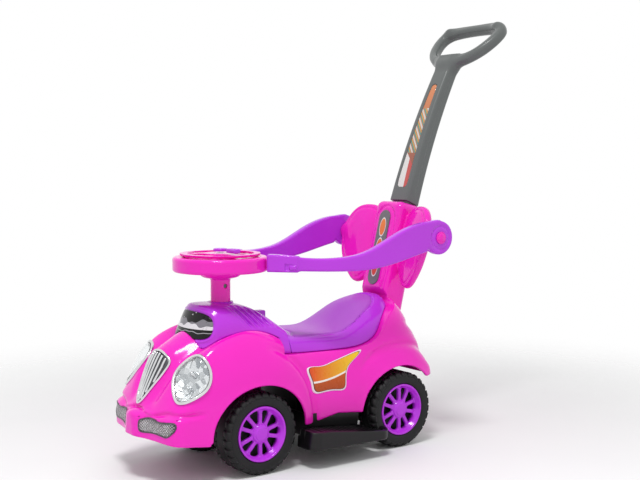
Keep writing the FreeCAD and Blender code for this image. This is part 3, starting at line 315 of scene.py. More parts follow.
def body_field(x, y, z):
    side = np.abs(y)
    skin = skin_field(x, side, z)
    deck = deck_region(x, z)
    arch = oval(x - front_x, z - axle_z, *front_arch)
    arch = np.minimum(arch, oval(x - rear_x, z - axle_z, *rear_arch))
    whole = skin - arch_bead * bell(arch, 6)
    whole = cut(whole, under_region(x, z), 3.0)
    whole = cut(whole, deck, 2.0)
    whole = cut(whole, arch, 3.0)
    relief = skin - body_form(x, side, z)
    cavity = np.maximum(skin + body_wall + relief, body_wall - deck)
    whole = cut(whole, cavity, 1.5)
    bin_hole = block(x - 36, side, z - 250, 73, 62, 100, 6)
    column_hole = block(x - steer_x, side, z - 260, 34, 34, 60, 6)
    whole = cut(whole, np.minimum(bin_hole, column_hole), 1.5)
    u, v, w = lamp_face.read(x, side, z)
    lamp_hole = np.maximum(lamp_outline(u, v) + 0.5, np.abs(w) - 45)
    whole = cut(whole, lamp_hole, 1.5)
    u, v, w = mesh_face.read(x, side, z)
    pocket = np.maximum(mesh_outline(u, v), np.maximum(-skin - pocket_depth, np.abs(w) - 30))
    whole = cut(whole, pocket, 1.2)
    lug = np.maximum(np.hypot(x - pin_x, z - pin_z) - eye_radius, np.abs(side - lug_y) - eye_half)
    foot = block(x - pin_x, side - lug_y, z - 268, eye_radius, eye_half, 12, 1)
    return smooth_min(whole, np.minimum(lug, foot), 1.0)


def untangle(values, filled):
    """Fills one corner of each grid square whose solid corners only touch across it, so no faces cross."""
    for plane in ((0, 1), (0, 2), (1, 2)) * 3:
        view = np.moveaxis(values, plane, (0, 1))
        pairs = (view[:-1, :-1], view[1:, 1:]), (view[1:, :-1], view[:-1, 1:])
        for (first, second), (third, fourth) in (pairs, pairs[::-1]):
            tangled = (first >= 0) & (second >= 0) & (third < 0) & (fourth < 0)
            nearer = first <= second
            first[tangled & nearer] = filled
            second[tangled & ~nearer] = filled


def cast(field, low, high, cell, mirror=False):
    """Points, faces and normals of the surface where a field in millimetres is zero."""
    shift = 0.37 * cell  # keeps the grid's planes off flat faces at round numbers
    slab = 12  # layers of the grid worked out at a time
    axes = [np.arange(a - shift, b + cell, cell) for a, b in zip(low, high)]
    if mirror:
        axes[1] = np.arange(cell / 2, high[1] + cell, cell)
    values = np.empty([len(a) for a in axes], np.float32)
    for i in range(0, len(axes[0]), slab):
        places = np.meshgrid(axes[0][i : i + slab], axes[1], axes[2], indexing="ij")
        values[i : i + slab] = field(*places)
    if mirror:
        values = np.concatenate([values[:, ::-1], values], axis=1)
        axes[1] = np.concatenate([-axes[1][::-1], axes[1]])
    untangle(values, -0.05 * cell)
    inside = values < 0
    size = np.array(values.shape) - 1
    corners = [(c & 1, c >> 1 & 1, c >> 2) for c in range(8)]
    count = np.zeros(size, np.uint8)
    for a, b, c in corners:
        count += inside[a : a + size[0], b : b + size[1], c : c + size[2]]
    cells = np.argwhere((count > 0) & (count < 8))
    number = np.full(size, -1, np.int64)
    number[tuple(cells.T)] = np.arange(len(cells))
    held = np.stack([values[tuple((cells + corner).T)] for corner in corners], axis=1)
    total = np.zeros((len(cells), 3))
    found = np.zeros(len(cells))
    edges = [(a, b) for a in range(8) for b in range(a + 1, 8) if bin(a ^ b).count("1") == 1]
    for a, b in edges:
        crossed = (held[:, a] < 0) != (held[:, b] < 0)
        gap = np.where(crossed, held[:, a] - held[:, b], 1)
        part = np.where(crossed, held[:, a] / gap, 0)[:, None]
        place = np.array(corners[a]) * (1 - part) + np.array(corners[b]) * part
        total += place * crossed[:, None]
        found += crossed
    start = np.array([a[0] for a in axes])
    points = start + cell * (cells + total / found[:, None])
    faces = []
    around = [(1, 1), (0, 1), (0, 0), (1, 0)]
    turned = [(1, 1), (1, 0), (0, 0), (0, 1)]
    for axis, backs in enumerate((around, turned, around)):
        others = [i for i in range(3) if i != axis]
        ends = [slice(0, -1) if i == axis else slice(1, -1) for i in range(3)]
        nexts = [slice(1, None) if i == axis else slice(1, -1) for i in range(3)]
        change = inside[tuple(ends)] != inside[tuple(nexts)]
        spots = np.argwhere(change)
        spots[:, others] += 1
        solid = inside[tuple(spots.T)]
        ring = []
        for back in backs:
            cell_at = spots.copy()
            cell_at[:, others[0]] -= back[0]
            cell_at[:, others[1]] -= back[1]
            ring.append(number[tuple(cell_at.T)])
        ring = np.stack(ring, axis=1)
        faces.append(np.where(solid[:, None], ring, ring[:, ::-1]))

    def slope(reach):
        parts = []
        for axis in np.eye(3) * reach:
            ahead = field(*(points + axis).T)
            parts.append((ahead - field(*(points - axis).T)) / (2 * reach))
        return np.stack(parts, axis=1)

    for _ in range(2):
        lean = slope(0.3 * cell)
        steep = (lean**2).sum(axis=1) + 1e-6
        step = field(*points.T) / steep
        points = points - lean * np.clip(step, -0.6 * cell, 0.6 * cell)[:, None]
    normals = slope(0.45 * cell)
    normals /= np.linalg.norm(normals, axis=1)[:, None] + 1e-9
    return points, np.concatenate(faces).tolist(), normals


class Flow:
    """A value in a node tree: arithmetic on it adds the nodes for that, and node() adds any other."""

    def __init__(self, tree, socket=None):
        self.tree = tree
        self.socket = socket

    def node(self, kind, inputs=None, output=0, **settings):
        made = self.tree.nodes.new(kind)
        for name, value in settings.items():
            setattr(made, name, value)
        for key, value in (inputs or {}).items():
            if isinstance(value, Flow):
                self.tree.links.new(value.socket, made.inputs[key])
            else:
                made.inputs[key].default_value = value
        return Flow(self.tree, made.outputs[output])

    def maths(self, operation, *values):
        """Maths node on values, or on this value alone."""
        return self.node("ShaderNodeMath", dict(enumerate(values or (self,))), operation=operation)

    def __add__(self, other):
        return self.maths("ADD", self, other)

    def __radd__(self, other):
        return self.maths("ADD", other, self)

    def __sub__(self, other):
        return self.maths("SUBTRACT", self, other)

    def __rsub__(self, other):
        return self.maths("SUBTRACT", other, self)

    def __mul__(self, other):
        return self.maths("MULTIPLY", self, other)

    def __rmul__(self, other):
        return self.maths("MULTIPLY", other, self)

    def __truediv__(self, other):
        return self.maths("DIVIDE", self, other)

    def __lt__(self, other):
        return self.maths("LESS_THAN", self, other)

    def __gt__(self, other):
        return self.maths("GREATER_THAN", self, other)

    def mix(self, low, high):
        """Colour between two, by this value."""
        inputs = {0: self, 6: low, 7: high}
        return self.node("ShaderNodeMix", inputs, output=2, data_type="RGBA")


def colour(red, green, blue):
    """Screen colour, 0 to 255, as the linear values that a shader takes."""
    parts = [c / 255 for c in (red, green, blue)]
    return [c / 12.92 if c <= 0.04045 else ((c + 0.055) / 1.055) ** 2.4 for c in parts] + [1.0]


class Finish:
    """A material: set() fills its shader's sockets, and the other calls make values for them."""

    def __init__(self, name):
        self.made = bpy.data.materials.new(name)
        self.made.use_nodes = True
        tree = self.made.node_tree
        self.shader = tree.nodes["Principled BSDF"]
        self.place = Flow(tree).node("ShaderNodeTexCoord", output="Object")

    def axes(self):
        """The three coordinates in millimetres."""
        split = self.place.node("ShaderNodeSeparateXYZ", {0: self.place})
        return [Flow(split.tree, socket) * 1000 for socket in split.socket.node.outputs]

    def noise(self, scale, detail):
        inputs = {"Vector": self.place, "Scale": scale, "Detail": detail}
        return self.place.node("ShaderNodeTexNoise", inputs)

    def cells(self, scale, output=0):
        return self.place.node("ShaderNodeTexVoronoi", {"Vector": self.place, "Scale": scale}, output)

    def bump(self, height, strength):
        relief = {"Height": height, "Strength": strength, "Distance": 0.001}
        return height.node("ShaderNodeBump", relief)

    def attribute(self, name):
        return self.place.node("ShaderNodeAttribute", output="Fac", attribute_name=name)

    def set(self, sockets):
        for name, value in sockets.items():
            if isinstance(value, Flow):
                value.tree.links.new(value.socket, self.shader.inputs[name])
            else:
                self.shader.inputs[name].default_value = value


def moulded(name, shade, roughness=0.15, coat=0.2, grain=0.012, drift=0.06):
    """Moulded plastic: an even colour with slight clouding, fine orange peel and dulled patches."""
    finish = Finish(name)
    light = [min(c * (1 + drift), 1.0) for c in shade[:3]] + [1.0]
    dark = [c * (1 - drift) for c in shade[:3]] + [1.0]
    finish.set({
        "Base Color": finish.noise(11.0, 3.0).mix(dark, light),
        "Roughness": roughness * 0.8 + finish.noise(34.0, 4.0) * (roughness * 0.4),
        "Normal": finish.bump(finish.noise(420.0, 2.0), grain),
        "Coat Weight": coat,
        "Coat Roughness": 0.06,
        "Specular IOR Level": 0.28,
    })
    return finish


def place_piece(name, form, finish, body, slot, *nodes):
    """Makes a piece from points in millimetres, faces and normals, and hangs it on its body."""
    points, faces, normals = form
    mesh = bpy.data.meshes.new(name)
    mesh.from_pydata((points / 1000).tolist(), [], faces)
    mesh.validate()
    mesh.shade_smooth()
    if normals is not None:
        mesh.normals_split_custom_set_from_vertices(normals.astype(np.float32).tolist())
    mesh.materials.append(finish.made)
    made = bpy.data.objects.new(name, mesh)
    bpy.context.collection.objects.link(made)
    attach(made, body)
    if nodes:
        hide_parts(*nodes)
    return made


pink = moulded("pink_plastic", colour(252, 30, 198))
body = cast(body_field, (-203, -128, 60), (431, 128, 296), 2.8, mirror=True)
place_piece("car_body", body, pink, "chassis", "body_pink", "body_shell")

# Dash cowl: the purple hood behind the windscreen, a moulding of its own clipped on the body at the column.
# It has four slanted gills in each shoulder, a small key switch behind and a collar round the column.
cowl_lines = (
    (90, 60, 56, 262, 40, 287, 293), (60, 70, 64, 262, 46, 292, 299), (20, 77, 70, 260, 50, 291, 299),
    (-20, 84, 76, 255, 55, 284, 294), (-60, 89, 82, 246, 60, 265, 273), (-100, 91, 86, 230, 66, 238, 242),
    (-130, 91, 87, 222, 66, 226, 228),
)
cowl_foot = 205
cowl_wall = 5
shoulder_wall = 9
cowl_stations = []
for dx, foot, mid_y, mid_z, top_y, top_z, middle in cowl_lines:
    half = [(0, cowl_foot - 4), (foot, cowl_foot), (foot, cowl_foot + 20)]
    half += [(mid_y, mid_z), (top_y, top_z), (0, middle)]
    cowl_stations.append((front_x + dx, (cowl_foot + middle) / 2, half))
cowl_form = lofted(cowl_stations, 3.0)


def mirrored(half, axis=0):
    """Closed loop from its half: the points off the middle line come back mirrored, in reverse."""
    flip = np.where(np.arange(2) == axis, -1, 1)
    return list(half) + [tuple(point * flip) for point in np.array(half)[::-1] if point[axis]]


screen_axis = 222.0
screen_points = mirrored(((0, 243), (58, 246), (57, 267), (46, 281), (24, 287), (0, 288)))
screen_outline = outline(curve(screen_points, 110, closed=True), margin=30)
seam_axis = 298
gill_pitch = 12.5
gill_slant = 0.7
gill_depth = 5.2
key_half = 9
bush_radius = 19.6


def screen_radius(z):
    return 92 - 0.42 * (z - 250)


def seam_radius(z):
    return 175 - 0.2 * (z - 239)


def cowl_field(x, y, z):
    side = np.abs(y)
    around = np.hypot(x - steer_x, side)
    skin = cowl_form(x, side, z)
    face = np.hypot(np.maximum(x - screen_axis, 0), side) - screen_radius(z)
    back = np.hypot(x - seam_axis, side) - seam_radius(z)
    run = (x + gill_slant * (284 - z) - 213) / gill_pitch
    gill = 0.5 - 0.5 * np.cos(2 * math.pi * run)
    gill = gill * ramp(side - 36, 8) * ramp(z - 254, 10) * np.clip(2.6 - np.abs(run), 0, 1)
    bead = 2.0 * bell(screen_outline(side, z) - 4, 2.6)
    whole = smooth_max(skin + gill_depth * gill, face - bead, 4.0)
    whole = smooth_max(whole, back, 2.0)
    cut_body = np.maximum(skin_field(x, side, z), -deck_region(x, z))
    whole = smooth_max(whole, 0.5 - cut_body, 1.5)
    whole = smooth_max(whole, cowl_foot - z, 1.5)
    collar = np.maximum(around - 23, np.abs(z - 297) - 3.5)
    whole = smooth_min(whole, collar, 3.0)
    key = block(x - 152, side, z - 268, key_half, key_half, key_half, 3)
    whole = smooth_min(whole, key, 2.5)
    hollow = np.maximum(np.maximum(skin + shoulder_wall, face + cowl_wall), back + cowl_wall)
    whole = cut(whole, hollow, 1.5)
    return smooth_max(whole, bush_radius - around, 1.0)


purple = moulded("purple_plastic", colour(192, 54, 226))
cowl = cast(cowl_field, (112, -98, 200), (322, 98, 306), 1.6, mirror=True)
place_piece("cowl", cowl, purple, "chassis", "trim_purple", "dash_cowl")

# Seat lid: a hollow purple saddle that covers the storage bin and turns up on a pin at its back.
# Its top has a pressed-in pad line and a pebbled, duller grain inside it, whose greyer, paler colour is
# partly painted sheen.
seat_lines = (
    (-60, 89, 238, 14), (-110, 90, 238, 15), (-160, 93, 236, 16), (-215, 94, 239, 20), (-248, 93, 257, 32),
    (-282, 89, 278, 42), (-312, 80, 287, 44), (-335, 68, 291, 42), (-356, 50, 290, 40),
)
seat_foot = 190
seat_rear = -120.5
seat_wall = 4.5
seat_stations = []
for dx, half_width, top, fall in seat_lines:
    half = [(0, seat_foot - 4), (half_width - 2, seat_foot), (half_width + 1, top - fall - 14)]
    half += [(half_width * 0.86, top - fall * 0.62), (half_width * 0.5, top - fall * 0.12), (0, top)]
    seat_stations.append((front_x + dx, (seat_foot + top) / 2, half))
seat_form = lofted(seat_stations, 3.0)
pad_points = ((106, 0), (108, 40), (120, 66), (60, 68), (0, 67), (-45, 62), (-85, 45), (-100, 20),
              (-103, 0))
pad_outline = outline(curve(mirrored(pad_points, 1), 120, closed=True), margin=40)
pad_groove = 2.4
boss_y = 33


def seat_field(x, y, z):
    side = np.abs(y)
    skin = seat_form(x, side, z)
    whole = skin + pad_groove * ramp(z - 218, 6) * bell(pad_outline(x, side), 2.2)
    whole = smooth_max(whole, deck_region(x - 0.5, z - 0.6), 2.0)
    back = seam_radius(z) + 0.6 - np.hypot(x - seam_axis, side)
    whole = smooth_max(whole, back, 2.0)
    whole = smooth_max(whole, seat_rear - x, 3.0)
    hollow = np.maximum(skin, np.maximum(back, seat_rear - x)) + seat_wall
    whole = cut(whole, hollow, 1.5)
    boss = np.maximum(np.hypot(x - pin_x, z - pin_z) - eye_radius, np.abs(side - boss_y) - eye_half)
    web = block(x - pin_x, side - boss_y, z - 285, 5.0, eye_half, 5, 1)
    whole = smooth_min(whole, np.minimum(boss, np.maximum(web, skin + 1)), 1.0)
    lug_room = np.maximum(np.abs(side - lug_y) - eye_half - 0.6, np.maximum(x + 109, z - 286))
    return cut(whole, lug_room, 0.8)


seat_plastic = Finish("seat_plastic")
cloud = seat_plastic.noise(11.0, 3.0)
pad = seat_plastic.attribute("pad")
edge_tone = cloud.mix(colour(180, 48, 216), colour(196, 60, 230))
# The pad's greyer, paler colour is partly its own duller satin tone and partly painted sheen on the upward
# faces.
pad_tone_and_sheen = cloud.mix(colour(166, 74, 194), colour(186, 92, 212))
seat_plastic.set({
    "Base Color": pad.mix(edge_tone, pad_tone_and_sheen),
    "Roughness": 0.16 + pad * 0.28 + cloud * 0.06,
    "Normal": seat_plastic.bump(seat_plastic.cells(620.0) * pad, 0.16),
    "Coat Weight": 0.1,
    "Specular IOR Level": 0.35,
})
seat = cast(seat_field, (-126, -98, 196), (162, 98, 296), 2.0, mirror=True)
saddle = place_piece("saddle", seat, seat_plastic, "seat", "trim_purple", "seat_lid")
seat_points, _, seat_normals = seat
inside_pad = ramp(-pad_outline(seat_points[:, 0], np.abs(seat_points[:, 1])), 2)
inside_pad = (inside_pad * (seat_normals[:, 2] > 0.3)).astype(np.float32)
saddle.data.attributes.new("pad", "FLOAT", "POINT").data.foreach_set("value", inside_pad)

# Backrest: a leaning hot pink post with two petal wings, blow-moulded in one and screwed to the tail.
# The guard arms turn on bosses at its sides, and the handle's tongue goes down a socket in its top.
lean = math.radians(14)
wing_points = ((0, 84), (30, 76), (52, 46), (58, 10), (50, -30), (30, -64), (4, -84), (-24, -70),
               (-44, -34), (-52, 10), (-46, 52), (-26, 78))
wing_outline = outline(curve(wing_points, 96, closed=True), margin=40)
wing_turn = math.radians(9)
plate_points = ((0, -10), (20, -4), (27, 30), (29, 90), (29, 160), (24, 196), (10, 210), (0, 212))
plate_outline = outline(curve(mirrored(plate_points), 96, closed=True), margin=40)
wing_out = 40
wing_high = 134
wing_half = 5
wing_swell = 9.5
post_depth = 31
post_width = 40
backrest_foot = 190
boss_radius = 17
boss_end = 141.2
tongue_depth = 12
tongue_width = 23
tongue_gap = 0.6
pivot_x = -165.0
pivot_z = 410.0
handle_lean = math.radians(23)
root_x = -207.0
root_z = 472.0


def in_backrest(x, z):
    """Place along the post's depth and height."""
    dx = x + 111.0
    dz = z - 262.0
    return dx * math.cos(lean) + dz * math.sin(lean), dz * math.cos(lean) - dx * math.sin(lean)


def up_handle(x, z):
    """Place across the handle's shaft and up it."""
    dx = x - root_x
    dz = z - root_z
    across = dx * math.cos(handle_lean) + dz * math.sin(handle_lean)
    return across, dz * math.cos(handle_lean) - dx * math.sin(handle_lean)


def backrest_field(x, y, z):
    side = np.abs(y)
    deep, high = in_backrest(x, z)
    inner = deep + post_depth
    beside = side - post_width
    post = block(inner, side, high - 97, post_depth, post_width, 127, 14)
    post = post + 2.6 * ramp(deep + 16, 6) * bell(plate_outline(side, high), 2.4)
    out = beside * math.cos(wing_turn) + inner * math.sin(wing_turn)
    ahead = inner * math.cos(wing_turn) - beside * math.sin(wing_turn)
    edge = wing_outline(out - wing_out, high - wing_high)
    thick = wing_half + wing_swell * np.sqrt(ramp(-edge, 46))
    wing = smooth_max(edge, np.abs(ahead - 9 * ramp(out, 90) ** 2) - thick, 6.0)
    wing = wing + 1.5 * bell(edge + 9, 2.4) * (ahead > 0)
    whole = smooth_min(post, wing, 4.0)
    boss = np.maximum(114 - side, side - boss_end)
    boss = smooth_max(np.hypot(x - pivot_x, z - pivot_z) - boss_radius, boss, 3.0)
    whole = smooth_min(whole, boss, 12.0)
    lid_limit = -129 + 0.44 * np.maximum(z - 288, 0)
    whole = cut(whole, np.maximum(lid_limit - x, z - 330), 1.5)
    depth, up = up_handle(x, z)
    handle_room = np.maximum(-up, np.maximum(np.abs(depth) - 38, side - 56))
    whole = cut(whole, handle_room, 1.0)
    socket = block(depth, side, up + 36, tongue_depth + tongue_gap, tongue_width + tongue_gap, 37, 2)
    whole = cut(whole, socket, 1.0)
    return smooth_max(whole, backrest_foot - z, 2.0)


backrest = cast(backrest_field, (-260, -144, 186), (-96, 144, 496), 2.5, mirror=True)
place_piece("back_shell", backrest, pink, "chassis", "body_pink", "backrest")

# Guard arms: two purple bars that hold the child in, each turning on its pivot beside the backrest.
# Each bows in to the tray, where a collar with a latch window slides over the tray's tongue.
arm_path = ((-430, 150), (-390, 150), (-300, 150), (-240, 147), (-190, 141), (-140, 128.5), (-100, 110),
            (-70, 88.5), (-52, 71.5))
arm_top = ((-388, 442), (-362, 442.5), (-330, 437.5), (-293, 425.5), (-247, 404), (-205, 388), (-165, 382),
           (-130, 381), (-98, 383), (-70, 386), (-42, 387))
arm_low = ((-358, 384), (-331, 378), (-294, 369), (-248, 360), (-205, 356), (-165, 356), (-130, 357),
           (-98, 358), (-42, 359))
arm_half = 8.5
arm_boss = 33
collar_swell = 2.2
pivot_bore = 6.2
arm_line, top_line, low_line = (
    curve([(front_x + dx, other) for dx, other in line], 60) for line in (arm_path, arm_top, arm_low)
)
arm_end = arm_line[-1]
toward = arm_line[-1] - arm_line[-2]
reach_line = np.vstack([arm_line, arm_end + toward * 12])
left_of = reach_line + np.array((0, 150))
arm_side_of = outline(np.vstack([reach_line, left_of[::-1]]), margin=30)
arm_profile = outline(np.vstack([low_line, top_line[::-1]]), margin=50)
toward = toward / np.linalg.norm(toward)


def along_arm(x, y):
    """Distance past the arm's front end, and out from its middle line there."""
    dx = x - arm_end[0]
    dy = y - arm_end[1]
    return dx * toward[0] + dy * toward[1], dy * toward[0] - dx * toward[1]


def arm_field(x, y, z):
    from_pivot = np.hypot(x - pivot_x, z - pivot_z)
    profile = smooth_min(arm_profile(x, z), from_pivot - arm_boss, 10.0)
    past, out = along_arm(x, y)
    collar = collar_swell * ramp(past + 54, 4) * ramp(x - 100, 10)
    band = np.abs(arm_side_of(x, y)) - arm_half - collar
    whole = smooth_max(profile - collar, band, 5.0)
    whole = whole + 1.6 * bell(from_pivot - 22, 2.5) * ramp(y - 152, 3)
    window = block(past + 40, out - arm_half - collar_swell, z - 366, 12, 3.2, 6, 1)
    whole = cut(whole, window, 0.8)
    latch = block(past + 43, out - 8.0, z - 365, 7, 2.0, 3.6, 0.8)
    whole = smooth_min(whole, latch, 0.5)
    tongue_slot = np.maximum(np.maximum(np.abs(out) - 5.2, -past - 26.2), z - 379)
    whole = cut(whole, tongue_slot, 0.8)
    tray_room = 91.2 - np.hypot(x - steer_x, y)
    whole = smooth_max(whole, tray_room, 1.5)
    return smooth_max(whole, pivot_bore - from_pivot, 0.8)


def other_side(form):
    """The same form on the other side of the car."""
    points, faces, normals = form
    flip = np.array((1, -1, 1))
    faces = [face[::-1] for face in faces]
    return points * flip, faces, None if normals is None else normals * flip


def place_sides(*rows):
    """Makes the left and then the right pieces of rows like place_piece's; a star stands for the side."""
    pieces = []
    for side in ("left", "right"):
        for name, form, finish, body, slot, *nodes in rows:
            shown = form if side == "left" else other_side(form)
            name, body, *nodes = [word.replace("*", side) for word in (name, body, *nodes)]
            pieces.append(place_piece(name, shown, finish, body, slot, *nodes))
    return pieces


arm = cast(arm_field, (-202, 60, 352), (190, 164, 450), 1.9)
arm_purple = moulded("arm_plastic", colour(194, 58, 230))
place_sides(("arm_*", arm, arm_purple, "guard_*", "trim_purple", "guard_arm_*"))

# Pivot caps: pink push-in pins with a domed head, one through each arm into the backrest's boss.
# They are turned forms with a flat-bottomed ring round the dome.


def rounded(profile, radius=1.0, steps=4):
    """Profile with each inner corner rounded off."""
    profile = [np.array(p, float) for p in profile]
    made = [profile[0]]
    for before, corner, after in zip(profile, profile[1:], profile[2:]):
        back = before - corner
        ahead = after - corner
        room = min(radius, 0.45 * np.linalg.norm(back), 0.45 * np.linalg.norm(ahead))
        start = corner + back / np.linalg.norm(back) * room
        end = corner + ahead / np.linalg.norm(ahead) * room
        for part in np.linspace(0, 1, steps):
            made.append(start * (1 - part) ** 2 + 2 * corner * part * (1 - part) + end * part**2)
    made.append(profile[-1])
    return np.array(made)


def ring_faces(rings, steps):
    """Faces over rings of points in turn, closed by two end points that follow the rings."""
    faces = []
    last = (rings - 1) * steps
    for j in range(steps):
        k = (j + 1) % steps
        faces.append((rings * steps, k, j))
        faces.append((rings * steps + 1, last + j, last + k))
        for i in range(0, last, steps):
            faces.append((i + j, i + k, i + steps + k, i + steps + j))
    return faces


def lathe(profile, middle, axis, steps=64):
    """Closed form turned about an axis from (radius, place along it) points that begin and end on it."""
    inner = np.asarray(profile, float)[1:-1]
    angles = np.linspace(0, 2 * math.pi, steps, endpoint=False)
    axis = np.array(axis, float)
    first = np.cross(axis, (0.0, 0.0, 1.0) if abs(axis[2]) < 0.5 else (1.0, 0.0, 0.0))
    second = np.cross(axis, first)
    rim = np.cos(angles)[:, None] * first + np.sin(angles)[:, None] * second
    rings = inner[:, 0, None, None] * rim + inner[:, 1, None, None] * axis
    ends = np.array([profile[0][1] * axis, profile[-1][1] * axis])
    points = np.vstack([rings.reshape(-1, 3), ends]) + np.array(middle, float)
    return points, ring_faces(len(inner), steps), None


cap_profile = [(0, 128), (5.9, 128), (5.9, 158.9), (12, 158.9), (12, 161), (10.4, 161.6), (9.4, 161.0)]
cap_profile += [(8, 162.4), (4.5, 163.5), (0, 163.8)]
cap = lathe(rounded(cap_profile, 0.9), (pivot_x, 0, pivot_z), (0, 1, 0))
place_sides(("cap_*", cap, pink, "chassis", "trim_purple", "pivot_cap_*"))

# Guard tray: a shallow hot pink drum round the column that the arms meet, with a tongue at each side.
# It is hollow below, its top has a pressed ring, and the steering wheel's sleeve passes through it.
tray_z = 369.8
tray_radius = 82
tray_half = 8
tray_round = 6


def tray_field(x, y, z):
    around = np.hypot(x - steer_x, y)
    out = around - tray_radius
    over = np.abs(z - tray_z) - tray_half
    drum = np.maximum(out, over)
    corner = np.hypot(np.maximum(out, 0), np.maximum(over, 0))
    drum = np.where(drum > 0, corner, drum) - tray_round
    drum = drum + 1.2 * bell(around - 74, 1.8) * ramp(z - 378, 3)
    hollow = np.maximum(np.maximum(around - 83, z - 379.5), 35 - around)
    whole = cut(drum, hollow, 1.5)
    whole = smooth_max(whole, tray_z - tray_half - tray_round - z, 1.5)
    past, aside = along_arm(x, np.abs(y))
    tongue = block(past - 10, aside, z - tray_z, 32, 3, 9, 1)
    whole = smooth_min(whole, np.maximum(tongue, 84 - around), 1.0)
    return smooth_max(whole, 15 - around, 1.0)


tray = cast(tray_field, (140, -116, 352), (330, 116, 388), 1.9, mirror=True)
place_piece("tray", tray, pink, "chassis", "body_pink", "guard_tray")

# Steering column: a hot pink tube over the steel rod, opening into a shallow bowl under the tray.
# A cross screw in a sunk hole at its left side pins it to the rod; a bush in the cowl guides it.
bowl_points = ((18.3, 334), (18.6, 340), (21, 343), (29, 344.5), (35, 347), (38.5, 351), (39.8, 355.5))
bowl_line = curve([(z, r) for r, z in bowl_points], 80)
column_middle = 308.8
column_half = 46.7
column_bore = 5.2
screw_z = 330


def column_field(x, y, z):
    around = np.hypot(x - steer_x, y)
    radius = np.interp(z, bowl_line[:, 0], bowl_line[:, 1])
    wall = (around - radius) * np.clip(1 - (z - 341) / 30, 0.6, 1)
    whole = smooth_max(wall, np.abs(z - column_middle) - column_half, 1.5)
    hole = np.maximum(np.hypot(x - steer_x, z - screw_z) - 3.9, 12 - y)
    whole = cut(whole, hole, 0.8)
    parting_line = 0.5 * bell(y, 0.8) * (z < 335)
    return smooth_max(whole - parting_line, column_bore - around, 0.6)


column = cast(column_field, (194, -44, 258), (280, 44, 359), 1.5)
place_piece("column", column, pink, "steering", "body_pink", "steering_column")

# Steering wheel: a hot pink moulded ring on three ribbed spokes, pressed on the steel rod.
# Its hub holds the purple horn button, its rim has shallow finger waves, and a purple switch lies left.
grip_radius = 68
grip_z = 391.1
hub_radius = 30
hub_z = 390.1
spoke_z = 390.6
wave_count = 18
horn_well = 13.3
rod_bore = 5.1


def steering_field(x, y, z):
    dx = x - steer_x
    around = np.hypot(dx, y)
    tube = 6.8 + 0.5 * np.cos(wave_count * np.arctan2(y, dx))
    ring = np.hypot(around - grip_radius, (z - grip_z) * 1.12) - tube
    hub = smooth_max(around - hub_radius, np.abs(z - hub_z) - 6, 3.0)
    whole = smooth_min(ring, hub, 3.0)
    for turn in (90, 210, 330):
        way = math.radians(turn)
        out = dx * math.cos(way) + y * math.sin(way)
        across = y * math.cos(way) - dx * math.sin(way)
        wide = 8 + 5 * np.clip((np.abs(out - 48) / 22) ** 2, 0, 1)
        spoke = smooth_max(np.abs(across) - wide, np.abs(z - spoke_z) - 3.2, 2.5)
        spoke = np.maximum(spoke, np.abs(out - 34) - 34)
        rib = np.maximum(np.hypot(across, z - spoke_z - 2.8) - 1.6, np.abs(out - 47) - 16)
        whole = smooth_min(whole, np.minimum(spoke, rib), 4.0)
    sleeve = np.maximum(around - 14.4, np.abs(z - 372) - 15)
    whole = smooth_min(whole, sleeve, 1.0)
    whole = smooth_max(whole, 384.0 - z - 40 * (around < 16), 0.8)
    well = np.maximum(around - horn_well, 391 - z)
    whole = cut(whole, well, 0.8)
    return smooth_max(whole, np.maximum(rod_bore - around, z - 390), 0.6)


def switch_field(x, y, z):
    lever = block(x - steer_x, y - 46, z - 396.2, 7, 15, 4, 2.4)
    ridge = np.hypot(np.mod(y, 6) - 3, z - 400.4) - 0.9
    return cut(lever, ridge, 0.6)


steering = cast(steering_field, (155, -82, 354), (319, 82, 402), 1.6)
place_piece("wheel_rim_hand", steering, pink, "steering", "body_pink", "steering_wheel")
horn_profile = [(0, 393.2), (13, 393.2), (13, 397.4), (11.4, 398.6), (9.6, 398.2), (8.6, 398.6), (4, 399.0)]
horn_profile += [(0, 399.1)]
horn = lathe(rounded(horn_profile, 0.9), (steer_x, 0, 0), (0, 0, 1))
place_piece("horn", horn, purple, "horn", "trim_purple", "horn_button")
switch = cast(switch_field, (226, 28, 390), (248, 64, 402), 1.1)
place_piece("switch_bar", switch, purple, "steering", "trim_purple")

# Push handle: a grey moulded shaft on a tongue that slides in the backrest, ending in a wide grip loop.
# The shaft has a sunk slot in front for its coloured panel, ribs down its sides and swollen grip corners.
neck = 325.0
shaft_bow = 32
shaft_depth = 19
shaft_width = 28
slot_depth = 2.5
grip_lean = math.radians(48)
grip_length = 116.66
grip_half = 98
grip_bar = 21
grip_round = 9
neck_x = root_x - neck * math.sin(handle_lean)
neck_z = root_z + neck * math.cos(handle_lean)


def loop_line(inset):
    """Edge of the grip loop, or of its hole at an inset."""
    width = grip_half - inset
    top = grip_length - inset
    start = -18 + inset * 2
    span = top - start
    half = [(20, start), (width * 0.68, start + span * 0.19), (width * 0.95, start + span * 0.50)]
    if inset:
        half = [(34, start - 11), (57, start + 1), (72, start + 28)]
    half += [(width * 0.96, start + span * 0.83), (width * 0.70, top - 3), (width * 0.3, top)]
    return curve(mirrored(half), 110, closed=True)


def shaft_at(up):
    """Share of the way up the shaft, and its bow ahead and half depth there."""
    part = ramp(up, neck)
    return part, shaft_bow * part * (1 - part), shaft_depth - 4 * part


slot_points = ((0, 28), (9, 28), (14, 32), (15.5, 42), (14.5, 80), (11, 180), (8.5, 250), (7, 260),
               (0, 263))
slot_outline = outline(mirrored(slot_points), cell=0.5, margin=30)
loop_outer = outline(loop_line(0), margin=40)
loop_inner = outline(loop_line(grip_bar), margin=60)


